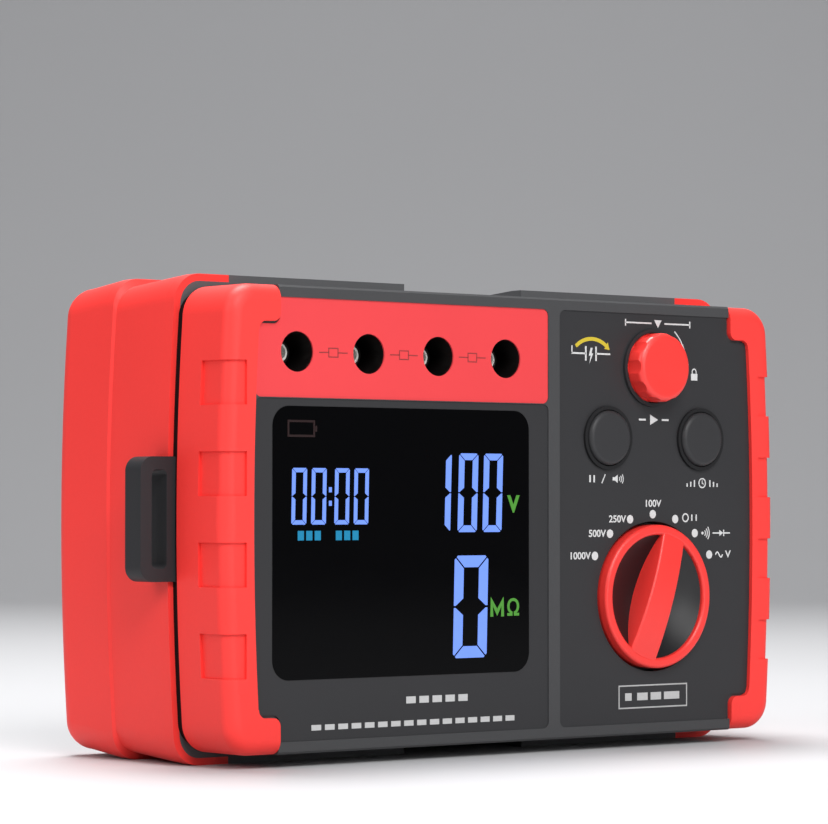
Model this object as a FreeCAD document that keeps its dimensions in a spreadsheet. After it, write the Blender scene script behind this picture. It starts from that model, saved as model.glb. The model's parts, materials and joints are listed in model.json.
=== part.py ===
import FreeCAD, Part
import math
import os
import re

import Sketcher

# A hand-carried insulation resistance tester: a moulded case in a front and a rear half, soft bumpers on both
# sides, a display window, four test jacks, a press-and-lock test knob, two keys and a turned selector.
#
# Frame: +X to the right of the front panel, +Y from the panel into the case, +Z up. The origin is at the
# middle of the box that the tester fills, on the surface that it stands on. Every x, y, z below is counted
# from the panel frame instead: x = 0 and z = 0 in the panel's middle, y = 0 on the front shell's face.

V = FreeCAD.Vector
ONTO_Y = FreeCAD.Rotation(V(1, 0, 0), -90)

SIZES = {
    # case
    "overcut": (1.0, "how far a cutting shape runs past what it cuts"),
    "width": (210.0, "case width at mid height"),
    "front_in": (1.4, "front half's sides, in from the rear half's"),
    "side_radius": (800.0, "bow of both sides"),
    "corner_radius": (8.5, "case corner seen from the front"),
    "case_depth": (80.5, "panel face to rear face"),
    "front_height": (127.0, "height of the front half"),
    "front_depth": (21.0, "depth of the front half"),
    "seam_gap": (2.3, "dark seam between the halves"),
    "seam_sink": (1.7, "seam below the case's surface"),
    "rear_height": (134.4, "height of the rear half at its two standing lands"),
    "waist_height": (130.6, "height of the rear half in front of its step"),
    "tail_height": (130.8, "height of the rear half where its rounded end starts"),
    "land_depth": (4.0, "depth of each standing land"),
    "waist_end": (51.6, "y where the middle band ends"),
    "waist_in": (0.5, "sides at the middle band's end, in from the case's side"),
    "step_run": (1.1, "run of the step behind the middle band"),
    "tail_length": (8.0, "straight rear end"),
    "tail_round": (7.5, "rounding of the rear edge"),
    "front_wall": (3.4, "front panel wall"),
    "case_wall": (2.4, "case wall below the bumpers"),
    "front_chamfer": (0.6, "chamfer on the front shell's rim"),
    "notch_half": (22.2, "half width of the notches on top and underneath"),
    "notch_depth": (3.0, "depth of those notches"),
    "notch_run": (28.0, "how far those notches run back"),
    # bumpers
    "bumper_wall": (2.0, "bumper thickness"),
    "bumper_rise": (0.9, "bumper above the panel face"),
    "bumper_round": (4.0, "rounding of the bumper's front edge"),
    "ear_width": (20.3, "corner ears, in from the case's side"),
    "ear_height": (10.0, "corner ears, in from the front half's top and bottom"),
    "ear_round": (2.4, "rounding at the ears"),
    "ear_gap": (0.65, "gap between an ear and the printed panels"),
    "rim_width": (13.0, "bumper's inner rim beside the ears, in from the case's side"),
    "rim_radius": (840.0, "bow of that rim"),
    "rear_width": (20.5, "rear bumpers, in from the case's side"),
    "grip_reach": (8.9, "finger grips, in from the case's side"),
    "grip_width": (12.0, "height of one finger grip"),
    "grip_pitch": (24.5, "spacing of the finger grips"),
    "grip_depth": (0.8, "depth of the finger grips"),
    "grip_end": (11.0, "y where the finger grips end on the side"),
    # printed panels
    "frame_bar": (3.3, "bare rim above and below the printed panels"),
    "panel_sink": (0.3, "printed panels below the shell's face"),
    "panel_bed": (0.8, "depth of the panels' recess"),
    "panel_round": (2.0, "panel corners"),
    "left_margin": (12.2, "left panels, in from the case's side"),
    "left_in": (12.4, "x of the left panels' inner edge"),
    "split_height": (32.9, "z of the line between jack plate and display bezel"),
    "split_gap": (0.2, "gap on that line"),
    "right_in": (16.7, "x of the control panel's inner edge"),
    "right_margin": (7.0, "control panel's blank, in from the case's side"),
    # display
    "window_margin": (18.3, "display window, in from the case's side"),
    "window_right": (5.0, "display window"),
    "window_low": (-43.6, "display window"),
    "window_high": (30.7, "display window"),
    "window_round": (5.5, "display window corners"),
    "window_sink": (0.15, "window below the shell's face"),
    "window_thick": (1.3, "window thickness"),
    "window_ledge": (2.7, "ledge that the window rests on"),
    "holder_wall": (1.5, "wall of the display holder"),
    "glass_thick": (2.2, "liquid crystal glass"),
    "glass_margin": (0.5, "glass inside its holder"),
    "backlight_thick": (3.5, "light guide"),
    "strip_height": (2.4, "connector strip"),
    # jacks
    "jack_margin": (26.7, "first jack, in from the case's side"),
    "jack_pitch": (24.9, "jack spacing"),
    "jack_height": (45.5, "z of the jacks"),
    "well_radius": (5.53, "jack's finger-safe well"),
    "well_depth": (20.0, "jack's well"),
    "jack_wall": (2.0, "wall of a jack body"),
    "jack_lip": (1.0, "jack body's lip inside the front wall"),
    "jack_floor": (5.0, "floor of a jack body"),
    "sleeve_radius": (3.15, "sleeve around the jack's contact"),
    "sleeve_set": (8.0, "sleeve's end below the panel"),
    "contact_bore": (2.0, "4 mm contact"),
    "contact_radius": (2.6, "contact's outside"),
    "contact_set": (0.3, "contact's end below its sleeve's"),
    "contact_tail": (2.5, "contact behind its body"),
    # selector
    "knob_x": (53.6, "selector"),
    "knob_z": (-23.05, "selector"),
    "knob_radius": (21.1, "selector ring"),
    "knob_rise": (2.4, "selector ring above the panel face"),
    "ring_wall": (3.0, "selector ring"),
    "ring_round": (0.9, "rounding of the selector ring"),
    "bar_rise": (1.6, "middle of the selector's bar above its ring"),
    "bar_draft": (0.6, "how much wider the bar is at its foot, each side"),
    "bar_round": (0.6, "rounded edges of the bar"),
    "bar_tip": (4.2, "half width of the bar's pointing end"),
    "bar_tail": (5.0, "half width of the bar's other end"),
    "dish_rise": (1.0, "rim of the selector's dark dish above the panel face"),
    "insert_depth": (3.6, "middle of the dark dish below the panel face"),
    "insert_thick": (0.8, "dark dish in its middle"),
    "knob_base": (1.0, "selector's base disc"),
    "knob_gap": (1.0, "gap around the selector"),
    "base_gap": (0.6, "gap under the selector"),
    "cup_wall": (2.0, "wall of the selector's cup"),
    "hub_radius": (4.0, "selector's hub"),
    "hub_gap": (0.05, "running clearance of the hub"),
    "rotor_radius": (15.0, "switch rotor"),
    "rotor_thick": (2.0, "switch rotor"),
    "detent_radius": (13.3, "ring of detent dimples"),
    "detent_ball": (0.9, "detent ball radius"),
    "detent_thick": (0.9, "detent ring"),
    "detent_width": (4.0, "detent ring"),
    "rotor_gap": (0.7, "detent ring to rotor"),
    "wiper_pitch": (4.0, "wiper contacts"),
    "wiper_width": (2.0, "wiper contacts"),
    "wiper_reach": (4.0, "wiper contacts, half length"),
    "wiper_thick": (0.5, "wiper contacts"),
    "wiper_gap": (0.35, "wiper tips above the main board"),
    # test knob
    "test_x": (53.3, "test knob"),
    "test_z": (44.3, "test knob"),
    "test_radius": (10.1, "test knob"),
    "test_rise": (6.0, "test knob above the panel face"),
    "flute_radius": (5.5, "flutes around the test knob"),
    "flute_depth": (0.55, "flutes around the test knob"),
    "collar_wall": (1.05, "collar around the test knob"),
    "cap_round": (1.8, "test knob's front edge"),
    "collar_gap": (0.3, "gap around the test knob"),
    "collar_rise": (0.6, "collar above the panel face"),
    "collar_seat": (0.9, "collar's back below the panel face"),
    "catch_reach": (1.5, "lock catch beyond the knob"),
    "catch_gap": (0.4, "test guide beyond the lock catch"),
    "catch_half": (2.0, "half width of the lock catch"),
    "guide_wall": (1.5, "wall of the test guide"),
    "guide_end": (10.0, "y of the test guide's floor"),
    "stem_radius": (3.0, "test stem"),
    "stem_gap": (0.05, "running clearance of the test knob on its stem"),
    "stem_end": (7.8, "y of the stem's end"),
    "flange_radius": (7.0, "spring seat on the stem"),
    "flange_thick": (1.0, "spring seat on the stem"),
    "spring_radius": (5.2, "test spring, to the wire's middle"),
    "spring_wire": (0.4, "test spring wire radius"),
    # keys
    "key_left": (35.5, "x of the left key"),
    "key_right": (72.7, "x of the right key"),
    "key_z": (23.45, "z of the keys"),
    "key_radius": (8.0, "key cap"),
    "key_gap": (0.25, "gap around a key"),
    "ring_width": (1.05, "ring around a key"),
    "key_rise": (1.7, "key above the panel face"),
    "key_round": (1.3, "rounded edge of a key"),
    "key_flange": (0.8, "flange that keeps a key in"),
    "ring_rise": (0.5, "key ring above the panel face"),
    "stem_key": (2.0, "key stem radius"),
    # boards
    "board_thick": (1.6, "circuit boards"),
    "board_front": (14.0, "y of the main board's face"),
    "board_margin": (21.0, "boards, in from the case's side"),
    "board_edge": (7.5, "main board, in from the front half's top and bottom"),
    "board_step": (33.0, "main board's edge below the jacks"),
    "power_front": (31.0, "y of the power board's face"),
    "power_edge": (12.5, "power board, in from the front half's top and bottom"),
    "spacer_radius": (3.0, "board spacers"),
    "board_screw": (1.2, "board screw radius"),
    "spacer_left": (-60.0, "x of the first low spacer"),
    "spacer_middle": (12.0, "x of the second low spacer, and half that of the high one"),
    "spacer_in": (30.0, "right spacers, in from the case's side"),
    "spacer_rise": (13.0, "low spacers above the front half's bottom"),
    "spacer_top": (49.0, "z of the high spacer"),
    "link_x": (41.5, "ribbon between the boards"),
    "link_z": (-36.0, "ribbon between the boards"),
    "link_width": (33.0, "ribbon between the boards"),
    "link_thick": (1.2, "ribbon between the boards"),
    "buzzer_x": (-40.0, "sounder"),
    "buzzer_z": (-46.0, "sounder"),
    "buzzer_radius": (6.0, "sounder"),
    "buzzer_thick": (7.0, "sounder"),
    "chip_width": (14.0, "control chips"),
    "chip_thick": (1.6, "control chips"),
    # power parts
    "coil_x": (-56.0, "transformer"),
    "core_width": (32.0, "transformer core"),
    "core_height": (32.0, "transformer core"),
    "core_depth": (19.0, "transformer core"),
    "bobbin_width": (22.0, "transformer winding"),
    "bobbin_height": (44.0, "transformer winding"),
    "bobbin_depth": (17.0, "transformer winding"),
    "can_x": (-28.0, "capacitors"),
    "can_z": (36.0, "capacitors"),
    "can_pitch": (16.0, "capacitors"),
    "can_radius": (6.0, "capacitors"),
    "can_depth": (20.0, "capacitors"),
    "relay_x": (-20.0, "first relay"),
    "relay_pitch": (16.0, "relays"),
    "relay_width": (10.0, "relays"),
    "relay_height": (20.0, "relays"),
    "relay_depth": (15.0, "relays"),
    "resistor_x": (53.0, "discharge resistors"),
    "resistor_length": (18.0, "discharge resistors"),
    "resistor_radius": (2.2, "discharge resistors"),
    "resistor_pitch": (8.0, "discharge resistors"),
    "fuse_x": (30.0, "fuse"),
    "fuse_z": (34.0, "fuse"),
    "fuse_length": (30.0, "fuse"),
    "fuse_radius": (3.0, "fuse"),
    "clip_width": (5.0, "fuse clips"),
    "clip_height": (8.0, "fuse clips"),
    "switch_thick": (2.2, "key switches"),
    "switch_width": (6.0, "key switches"),
    "switch_gap": (1.5, "key stems' ends above their switches"),
    "test_switch_thick": (1.8, "test switch"),
    "test_switch_width": (12.0, "test switch"),
    # case screws
    "post_in": (15.5, "case posts, in from the case's side"),
    "post_drop": (11.0, "case posts, in from the front half's top and bottom"),
    "post_radius": (4.5, "case posts"),
    "screw_radius": (1.75, "case screws"),
    "screw_gap": (0.25, "gap around a case screw"),
    "screw_head": (3.2, "case screw heads"),
    "head_sink": (1.0, "case screw heads below the rear face"),
    "head_wall": (1.0, "case screw heads behind the rear wall's inside"),
    "cross_width": (1.0, "cross in the screw heads"),
    "cross_depth": (1.2, "cross in the screw heads"),
    "insert_radius": (2.8, "threaded inserts"),
    "insert_length": (8.0, "threaded inserts"),
    # strap lugs
    "lug_stand": (9.7, "strap lugs beyond the case's side"),
    "lug_root": (6.5, "strap lugs' root, in from the case's side"),
    "lug_half": (17.0, "half height of a strap lug"),
    "lug_start": (22.0, "y of the strap lugs' front"),
    "lug_depth": (7.4, "strap lugs"),
    "lug_bar": (3.6, "outer bar of a strap lug"),
    "lug_round": (4.0, "strap lug corners"),
    "slot_width": (5.0, "strap slot"),
    "slot_half": (13.5, "half length of the strap slot"),
    # battery bay
    "cell_radius": (7.1, "battery cell"),
    "cell_length": (49.4, "battery cell"),
    "cell_gap": (0.8, "gap between cells"),
    "cell_room": (2.6, "cells below the case's rear wall"),
    "bay_room": (0.5, "room at the ends of the bay's rows"),
    "contact_plate": (0.5, "battery contacts, and half the middle ones"),
    "plate_half": (5.0, "half height of the battery contacts"),
    "tray_wall": (1.5, "battery tray"),
    "door_lap_x": (10.6, "battery door beyond the bay, sideways"),
    "door_lap_z": (7.0, "battery door beyond the bay, up and down"),
    "door_thick": (3.0, "battery door"),
    "door_gap": (0.4, "gap around the battery door"),
    "door_round": (5.0, "battery door corners"),
    "seal_thick": (0.7, "battery door seal"),
    "seal_width": (1.6, "battery door seal"),
    "door_screw_in": (4.3, "door screws, in from the door's edge"),
    "door_screw": (1.5, "door screw radius"),
    "door_head": (2.8, "door screw heads"),
    "door_head_set": (1.8, "door screw heads' seat below the rear face"),
}
REST_TURN = 20.0
FLUTES = 10
DETENTS = 9
CELL_ROWS = 4
WIPERS = 3
SPRING_TURNS = 4

FRONT = "(knob_reach - case_depth)/2"
MIDDLE = "rear_height/2"
REAR_START = "front_depth + seam_gap"
STEP_END = "waist_end + step_run"
TAIL_START = "case_depth - tail_length"
SIDE = "width/2"
EAR_X = f"({SIDE} - ear_width)"
EAR_Z = "(front_height/2 - ear_height)"
RIM_X = f"({SIDE} - rim_width)"
PANEL_Z = "(front_height/2 - frame_bar)"
WINDOW_X = f"(window_margin - {SIDE})"
POST_X = f"({SIDE} - post_in)"
POST_Z = "(front_height/2 - post_drop)"
BOARD_X = f"({SIDE} - board_margin)"
BOARD_Z = "(front_height/2 - board_edge)"
POWER_Z = "(front_height/2 - power_edge)"
LUG_X = f"({SIDE} + lug_stand)"
ROOT_X = f"({SIDE} - lug_root)"
CORE = "bumper_wall"
HOLLOW = "bumper_wall + case_wall"
REAR_INSIDE = "case_depth - bumper_wall - case_wall"
COLLAR_BORE = "test_radius + collar_gap"
COLLAR_RADIUS = COLLAR_BORE + " + collar_wall"
GUIDE_RADIUS = "test_radius + catch_reach + catch_gap"
KEY_HOLE = "key_radius + key_gap"
KEY_RING = KEY_HOLE + " + ring_width"
CUP_RADIUS = "knob_radius + knob_gap"
BASE_TOP = "insert_depth + insert_thick"
BAR_TOP = "knob_rise + bar_rise"
DISH_RADIUS = "(knob_radius - ring_wall)"
DISH_DEPTH = "(insert_depth + dish_rise)"
BASE_END = BASE_TOP + " + knob_base"
CUP_FLOOR = BASE_END + " + base_gap"
CUP_END = CUP_FLOOR + " + cup_wall"
ROTOR_START = CUP_END + " + detent_thick + rotor_gap"
ROTOR_END = ROTOR_START + " + rotor_thick"
WINDOW_BACK = "window_sink + window_thick"
BOARD_BACK = "board_front + board_thick"
POWER_BACK = "power_front + board_thick"
FLANGE_START = "front_wall"
FLANGE_END = FLANGE_START + " + flange_thick"
CAP_END = FLANGE_START + " - collar_gap"
DOOR_FRONT = "case_depth - door_thick"
HEAD_SEAT = f"({REAR_INSIDE} + head_wall)"
SCREW_BORE = "screw_radius + screw_gap"
CELL_Y = f"({REAR_INSIDE} - cell_room - cell_radius)"
CELL_PITCH = "(2*cell_radius + cell_gap)"
BAY_X = "(cell_length + 3*contact_plate)"
BAY_Z = f"({CELL_ROWS}/2*{CELL_PITCH} + bay_room)"
DOOR_X = f"({BAY_X} + door_lap_x)"
DOOR_Z = f"({BAY_Z} + door_lap_z)"
DOOR_SCREW_X = f"({DOOR_X} - door_screw_in)"
CHIP_SPOTS = (("-50", "0"), ("-20", "5"), ("40", "20"))
RELAYS = 4

doc = FreeCAD.newDocument("insulation_tester")
dims = doc.addObject("Spreadsheet::Sheet", "dims")
pieces = []


# ---------------------------------------------------------------- sizes and expressions

def fill_sheet():
    """Every driving size gets a row: its note, its number and its alias."""
    for row, (alias, (number, note)) in enumerate(SIZES.items(), 1):
        dims.set(f"A{row}", note)
        dims.set(f"B{row}", str(number))
        dims.setAlias(f"B{row}", alias)
    doc.recompute()


def linked(text):
    """An expression in sizes, with each name pointed at the sheet."""
    text = text.replace("knob_reach", "test_rise")
    return re.sub(r"\b[a-z][a-z_]*\b(?!\()", lambda name: "dims." + name.group(0), text)


def value(text):
    """The number that an expression in sizes has now."""
    return float(dims.evalExpression(linked(text)))


def bind(item, name, text):
    item.setExpression(name, linked(text))


def place(item, x="0", y="0", z="0"):
    """Puts an object's own origin at a point of the panel frame."""
    bind(item, "Placement.Base.x", x)
    bind(item, "Placement.Base.y", f"{FRONT} + {y}")
    bind(item, "Placement.Base.z", f"{MIDDLE} + {z}")
    return item


def keep(item, label):
    """Names a finished sub-part."""
    item.Label = label
    pieces.append(item)
    return item


# ---------------------------------------------------------------- primitives and booleans

def block(name, x, y, z):
    """A box between the low and high ends given for x, y and z."""
    item = doc.addObject("Part::Box", name)
    for size, ends in (("Length", x), ("Width", y), ("Height", z)):
        bind(item, size, f"({ends[1]}) - ({ends[0]})")
    return place(item, f"({x[0]})", f"({y[0]})", f"({z[0]})")


def disc(name, radius, y, x="0", z="0"):
    """A cylinder along +Y between the two ends given for y."""
    item = doc.addObject("Part::Cylinder", name)
    item.Placement = FreeCAD.Placement(V(), ONTO_Y)
    bind(item, "Radius", radius)
    bind(item, "Height", f"({y[1]}) - ({y[0]})")
    return place(item, f"({x})", f"({y[0]})", f"({z})")


def rod(name, radius, x, y, z):
    """A cylinder along +X between the two ends given for x."""
    item = doc.addObject("Part::Cylinder", name)
    item.Placement = FreeCAD.Placement(V(), FreeCAD.Rotation(V(0, 1, 0), 90))
    bind(item, "Radius", radius)
    bind(item, "Height", f"({x[1]}) - ({x[0]})")
    return place(item, f"({x[0]})", f"({y})", f"({z})")


def fuse(name, *items):
    item = doc.addObject("Part::MultiFuse", name)
    item.Shapes = list(items)
    return item


def group(name, *items):
    """Separate solids that share one node."""
    item = doc.addObject("Part::Compound", name)
    item.Links = list(items)
    return item


def cut(name, base, *tools):
    item = doc.addObject("Part::Cut", name)
    item.Base = base
    item.Tool = tools[0] if len(tools) == 1 else fuse(name + "_tools", *tools)
    return item


def common(name, base, tool):
    item = doc.addObject("Part::Common", name)
    item.Base = base
    item.Tool = tool
    return item


def tube(name, outer, inner, y, x="0", z="0"):
    return cut(name, disc(name + "_outside", outer, y, x, z), disc(name + "_bore", inner, y, x, z))


# ---------------------------------------------------------------- sketched bodies

def body(name, x="0", y="0", z="0", turn=0.0):
    item = doc.addObject("PartDesign::Body", name)
    item.Placement = FreeCAD.Placement(V(), FreeCAD.Rotation(V(0, 1, 0), turn))
    return place(item, f"({x})", f"({y})", f"({z})")


def sketch(owner, y="0"):
    """An empty sketch that faces the front, at a depth of its body."""
    plane = next(f for f in owner.Origin.OriginFeatures if f.Role == "XZ_Plane")
    item = owner.newObject("Sketcher::SketchObject", owner.Name + "_outline")
    item.AttachmentSupport = [(plane, "")]
    item.MapMode = "FlatFace"
    bind(item, "AttachmentOffset.Base.z", f"-({y})")
    return item


def fix(item, kind, *args):
    """Adds a dimension whose last argument is an expression."""
    number = item.addConstraint(Sketcher.Constraint(kind, *args[:-1], value(args[-1])))
    item.setExpression(f"Constraints[{number}]", linked(args[-1]))


def loop(item, corners):
    """A closed outline of straight edges through corners given as expressions."""
    start = item.GeometryCount
    spots = [V(value(x), value(z), 0) for x, z in corners]
    last = len(spots)
    for i in range(last):
        item.addGeometry(Part.LineSegment(spots[i], spots[(i + 1) % last]), False)
    for i in range(last):
        item.addConstraint(Sketcher.Constraint("Coincident", start + i, 2, start + (i + 1) % last, 1))
    for i, (x, z) in enumerate(corners):
        fix(item, "DistanceX", -1, 1, start + i, 1, x)
        fix(item, "DistanceY", -1, 1, start + i, 1, z)
    return item


def ring(item, radius):
    """A circle about the sketch's origin."""
    number = item.addGeometry(Part.Circle(V(), V(0, 0, 1), value(radius)), False)
    item.addConstraint(Sketcher.Constraint("Coincident", number, 3, -1, 1))
    fix(item, "Radius", number, radius)
    return item


def bowed(item, half, tall, corner, bow):
    """The case's outline: straight top and bottom, bowed sides, tangent corners."""
    w, t, c, b = value(half), value(tall), value(corner), value(bow)
    middle = w - b
    x = middle + math.sqrt((b - c) ** 2 - (t - c) ** 2)
    lean = math.asin((t - c) / (b - c))
    quarter = math.pi / 2

    def arc(cx, cz, radius, start, end):
        return Part.ArcOfCircle(Part.Circle(V(cx, cz, 0), V(0, 0, 1), radius), start, end)

    item.addGeometry([
        arc(middle, 0, b, -lean, lean),
        arc(x, t - c, c, lean, quarter),
        Part.LineSegment(V(x, t, 0), V(-x, t, 0)),
        arc(-x, t - c, c, quarter, 2 * quarter - lean),
        arc(-middle, 0, b, 2 * quarter - lean, 2 * quarter + lean),
        arc(-x, c - t, c, 2 * quarter + lean, 3 * quarter),
        Part.LineSegment(V(-x, -t, 0), V(x, -t, 0)),
        arc(x, c - t, c, 3 * quarter, 4 * quarter - lean),
    ], False)
    for i in range(8):
        item.addConstraint(Sketcher.Constraint("Tangent", i, 2, (i + 1) % 8, 1))
    for i in (1, 3, 5, 7):
        fix(item, "Radius", i, corner)
    for i, sign in ((0, ""), (4, "-")):
        fix(item, "Radius", i, bow)
        item.addConstraint(Sketcher.Constraint("PointOnObject", i, 3, -1))
        fix(item, "DistanceX", -1, 1, i, 3, f"{sign}(({half}) - ({bow}))")
    for i, sign in ((2, ""), (6, "-")):
        item.addConstraint(Sketcher.Constraint("Horizontal", i))
        fix(item, "DistanceY", -1, 1, i, 1, f"{sign}({tall})")
    return item


def pad(owner, outline, length):
    """Extrudes an outline towards +Y."""
    item = owner.newObject("PartDesign::Pad", owner.Name + "_pad")
    item.Profile = outline
    item.Reversed = True
    bind(item, "Length", length)
    doc.recompute()
    return item


def dress(owner, kind, radius, wanted):
    """A fillet or chamfer on the edges of the body's last feature that pass a test."""
    last = owner.Tip
    names = [f"Edge{i}" for i, edge in enumerate(last.Shape.Edges, 1) if wanted(edge)]
    item = owner.newObject("PartDesign::" + kind, owner.Name + "_" + kind.lower())
    item.Base = (last, names)
    bind(item, "Radius" if kind == "Fillet" else "Size", radius)
    doc.recompute()
    return item


def runs_back(edge):
    """True for a straight edge along Y."""
    return len(edge.Vertexes) == 2 and abs(abs(edge.tangentAt(edge.FirstParameter).y) - 1) < 1e-6


def flat_at(y):
    """A test for edges that lie in the plane of one depth of a body."""
    return lambda edge: all(abs(point.y - y) < 1e-4 for point in edge.discretize(5))


def plate(name, x, y, z, radius):
    """A sheet that faces the front, with rounded corners."""
    item = body(name)
    outline = loop(sketch(item, y[0]), [(x[0], z[0]), (x[1], z[0]), (x[1], z[1]), (x[0], z[1])])
    pad(item, outline, f"({y[1]}) - ({y[0]})")
    dress(item, "Fillet", radius, runs_back)
    return item


# ---------------------------------------------------------------- case

def front_block(name, y, inset, edge=None):
    """The front half's outer form, shrunk by an inset; edge is its front edge's (kind, size)."""
    item = body(name)
    outline = bowed(sketch(item, y), f"width/2 - front_in - ({inset})", f"front_height/2 - ({inset})",
                    f"corner_radius - ({inset})", f"side_radius - ({inset})")
    pad(item, outline, f"front_depth - ({y})")
    if edge:
        dress(item, *edge, flat_at(value(y)))
    return item


def rear_block(name, inset):
    """The rear half's outer form, shrunk by an inset: lands, waist, step, lands and a rounded tail."""
    item = body(name)
    stations = [(REAR_START, SIDE, "rear_height"), (REAR_START + " + land_depth", SIDE, "rear_height"),
                ("waist_end", f"{SIDE} - waist_in", "waist_height"), (STEP_END, SIDE, "rear_height"),
                (STEP_END + " + land_depth", SIDE, "rear_height"), (TAIL_START, SIDE, "tail_height")]
    outlines = [bowed(sketch(item, y), f"{side} - ({inset})", f"({tall})/2 - ({inset})",
                      f"corner_radius - ({inset})", f"side_radius - ({inset})")
                for y, side, tall in stations]
    loft = item.newObject("PartDesign::AdditiveLoft", name + "_loft")
    loft.Profile = outlines[0]
    loft.Sections = outlines[1:]
    loft.Ruled = True
    doc.recompute()
    tail = bowed(sketch(item, TAIL_START), f"width/2 - ({inset})", f"tail_height/2 - ({inset})",
                 f"corner_radius - ({inset})", f"side_radius - ({inset})")
    pad(item, tail, f"tail_length - ({inset})")
    dress(item, "Fillet", f"tail_round - ({inset})", flat_at(value(f"case_depth - ({inset})")))
    return item


def rim_prism(name, turn):
    """Everything outside a front bumper's inner rim on one side, ears included."""
    item = body(name, turn=turn)
    far, tall = "width", "rear_height"
    outline = sketch(item, "-2*bumper_rise")
    corners = [(far, tall), (EAR_X, tall), (EAR_X, EAR_Z), (RIM_X, EAR_Z),
               (RIM_X, "-" + EAR_Z), (EAR_X, "-" + EAR_Z), (EAR_X, "-" + tall), (far, "-" + tall)]
    loop(outline, corners)
    pad(item, outline, "front_depth + 2*bumper_rise")
    inner = (value(EAR_X), value(RIM_X))
    dress(item, "Fillet", "ear_round", lambda edge: runs_back(edge)
          and abs(abs(edge.CenterOfMass.z) - value(EAR_Z)) < 1e-4
          and any(abs(edge.CenterOfMass.x - x) < 1e-4 for x in inner))
    return item


def rim_bow(name, side):
    """The slice that bows a bumper's inner rim outward at mid height."""
    start = "-2*bumper_rise"
    centre = f"{RIM_X} - sqrt(rim_radius*rim_radius - {EAR_Z}*{EAR_Z})"
    reach = disc(name + "_disc", "rim_radius", (start, "front_depth"), f"{side}({centre})")
    inner, outer = f"{RIM_X} - overcut", SIDE
    inside = (inner, outer) if side == "" else (f"-({outer})", f"-({inner})")
    strip = block(name + "_strip", inside, (start, "front_depth"),
                  (f"ear_round - {EAR_Z}", f"{EAR_Z} - ear_round"))
    return common(name, reach, strip)


def overlays(name, y):
    """The three printed panels' outlines between two depths."""
    left = (f"left_margin - {SIDE}", "left_in")
    return [
        plate(name + "_jacks", left, y, ("split_height + split_gap/2", PANEL_Z), "panel_round"),
        plate(name + "_bezel", left, y, ("-" + PANEL_Z, "split_height - split_gap/2"), "panel_round"),
        plate(name + "_controls", ("right_in", f"{SIDE} - right_margin"), y, ("-" + PANEL_Z, PANEL_Z),
              "panel_round"),
    ]


def window_plate(name, y, ledge="0"):
    """The display window's outline between two depths, less a ledge."""
    return plate(name, (f"{WINDOW_X} + ({ledge})", f"window_right - ({ledge})"), y,
                 (f"window_low + ({ledge})", f"window_high - ({ledge})"), f"window_round - ({ledge})/2")


def jack_x(number):
    return f"jack_margin - {SIDE} + {number}*jack_pitch"


def post_spots():
    return [(a + POST_X, b + POST_Z) for a in ("", "-") for b in ("", "-")]


def spacer_spots():
    """The five spots where both boards are held: three low, one high, one at the right edge."""
    low, right = "(spacer_rise - front_height/2)", f"({SIDE} - spacer_in)"
    return [("spacer_left", low), ("spacer_middle", low), (right, low), ("2*spacer_middle", "spacer_top"),
            (right, "0")]


def sides():
    return (("right", "", 0.0), ("left", "-", 180.0))


def side_spaces():
    """For each side, the room outside the front shell that its bumper fills."""
    core = front_block("front_core", "bumper_wall - bumper_rise", CORE,
                       ("Fillet", "bumper_round - bumper_wall"))
    spaces = {}
    for side, sign, turn in sides():
        prism = rim_prism(f"rim_{side}", turn)
        rim = cut(f"bowed_rim_{side}", prism, rim_bow(f"rim_bow_{side}", sign))
        spaces[side] = cut(f"front_space_{side}", rim, core)
    return spaces


def grip_tool(side, sign):
    """Four shallow finger grips that wrap from the front face onto the side."""
    floor = front_block(f"grip_floor_{side}", "grip_depth - bumper_rise", "grip_depth",
                        ("Fillet", "bumper_round - grip_depth"))
    bands = []
    inner = f"({SIDE} - grip_reach)"
    reach = (inner, "width") if sign == "" else ("-width", "-" + inner)
    for number in (-1.5, -0.5, 0.5, 1.5):
        z = f"{number}*grip_pitch"
        bands.append(block(f"grip_{side}", reach, ("-2*bumper_rise", "grip_end"),
                           (f"{z} - grip_width/2", f"{z} + grip_width/2")))
    return cut(f"grips_{side}", fuse(f"grip_bands_{side}", *bands), floor)


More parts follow.
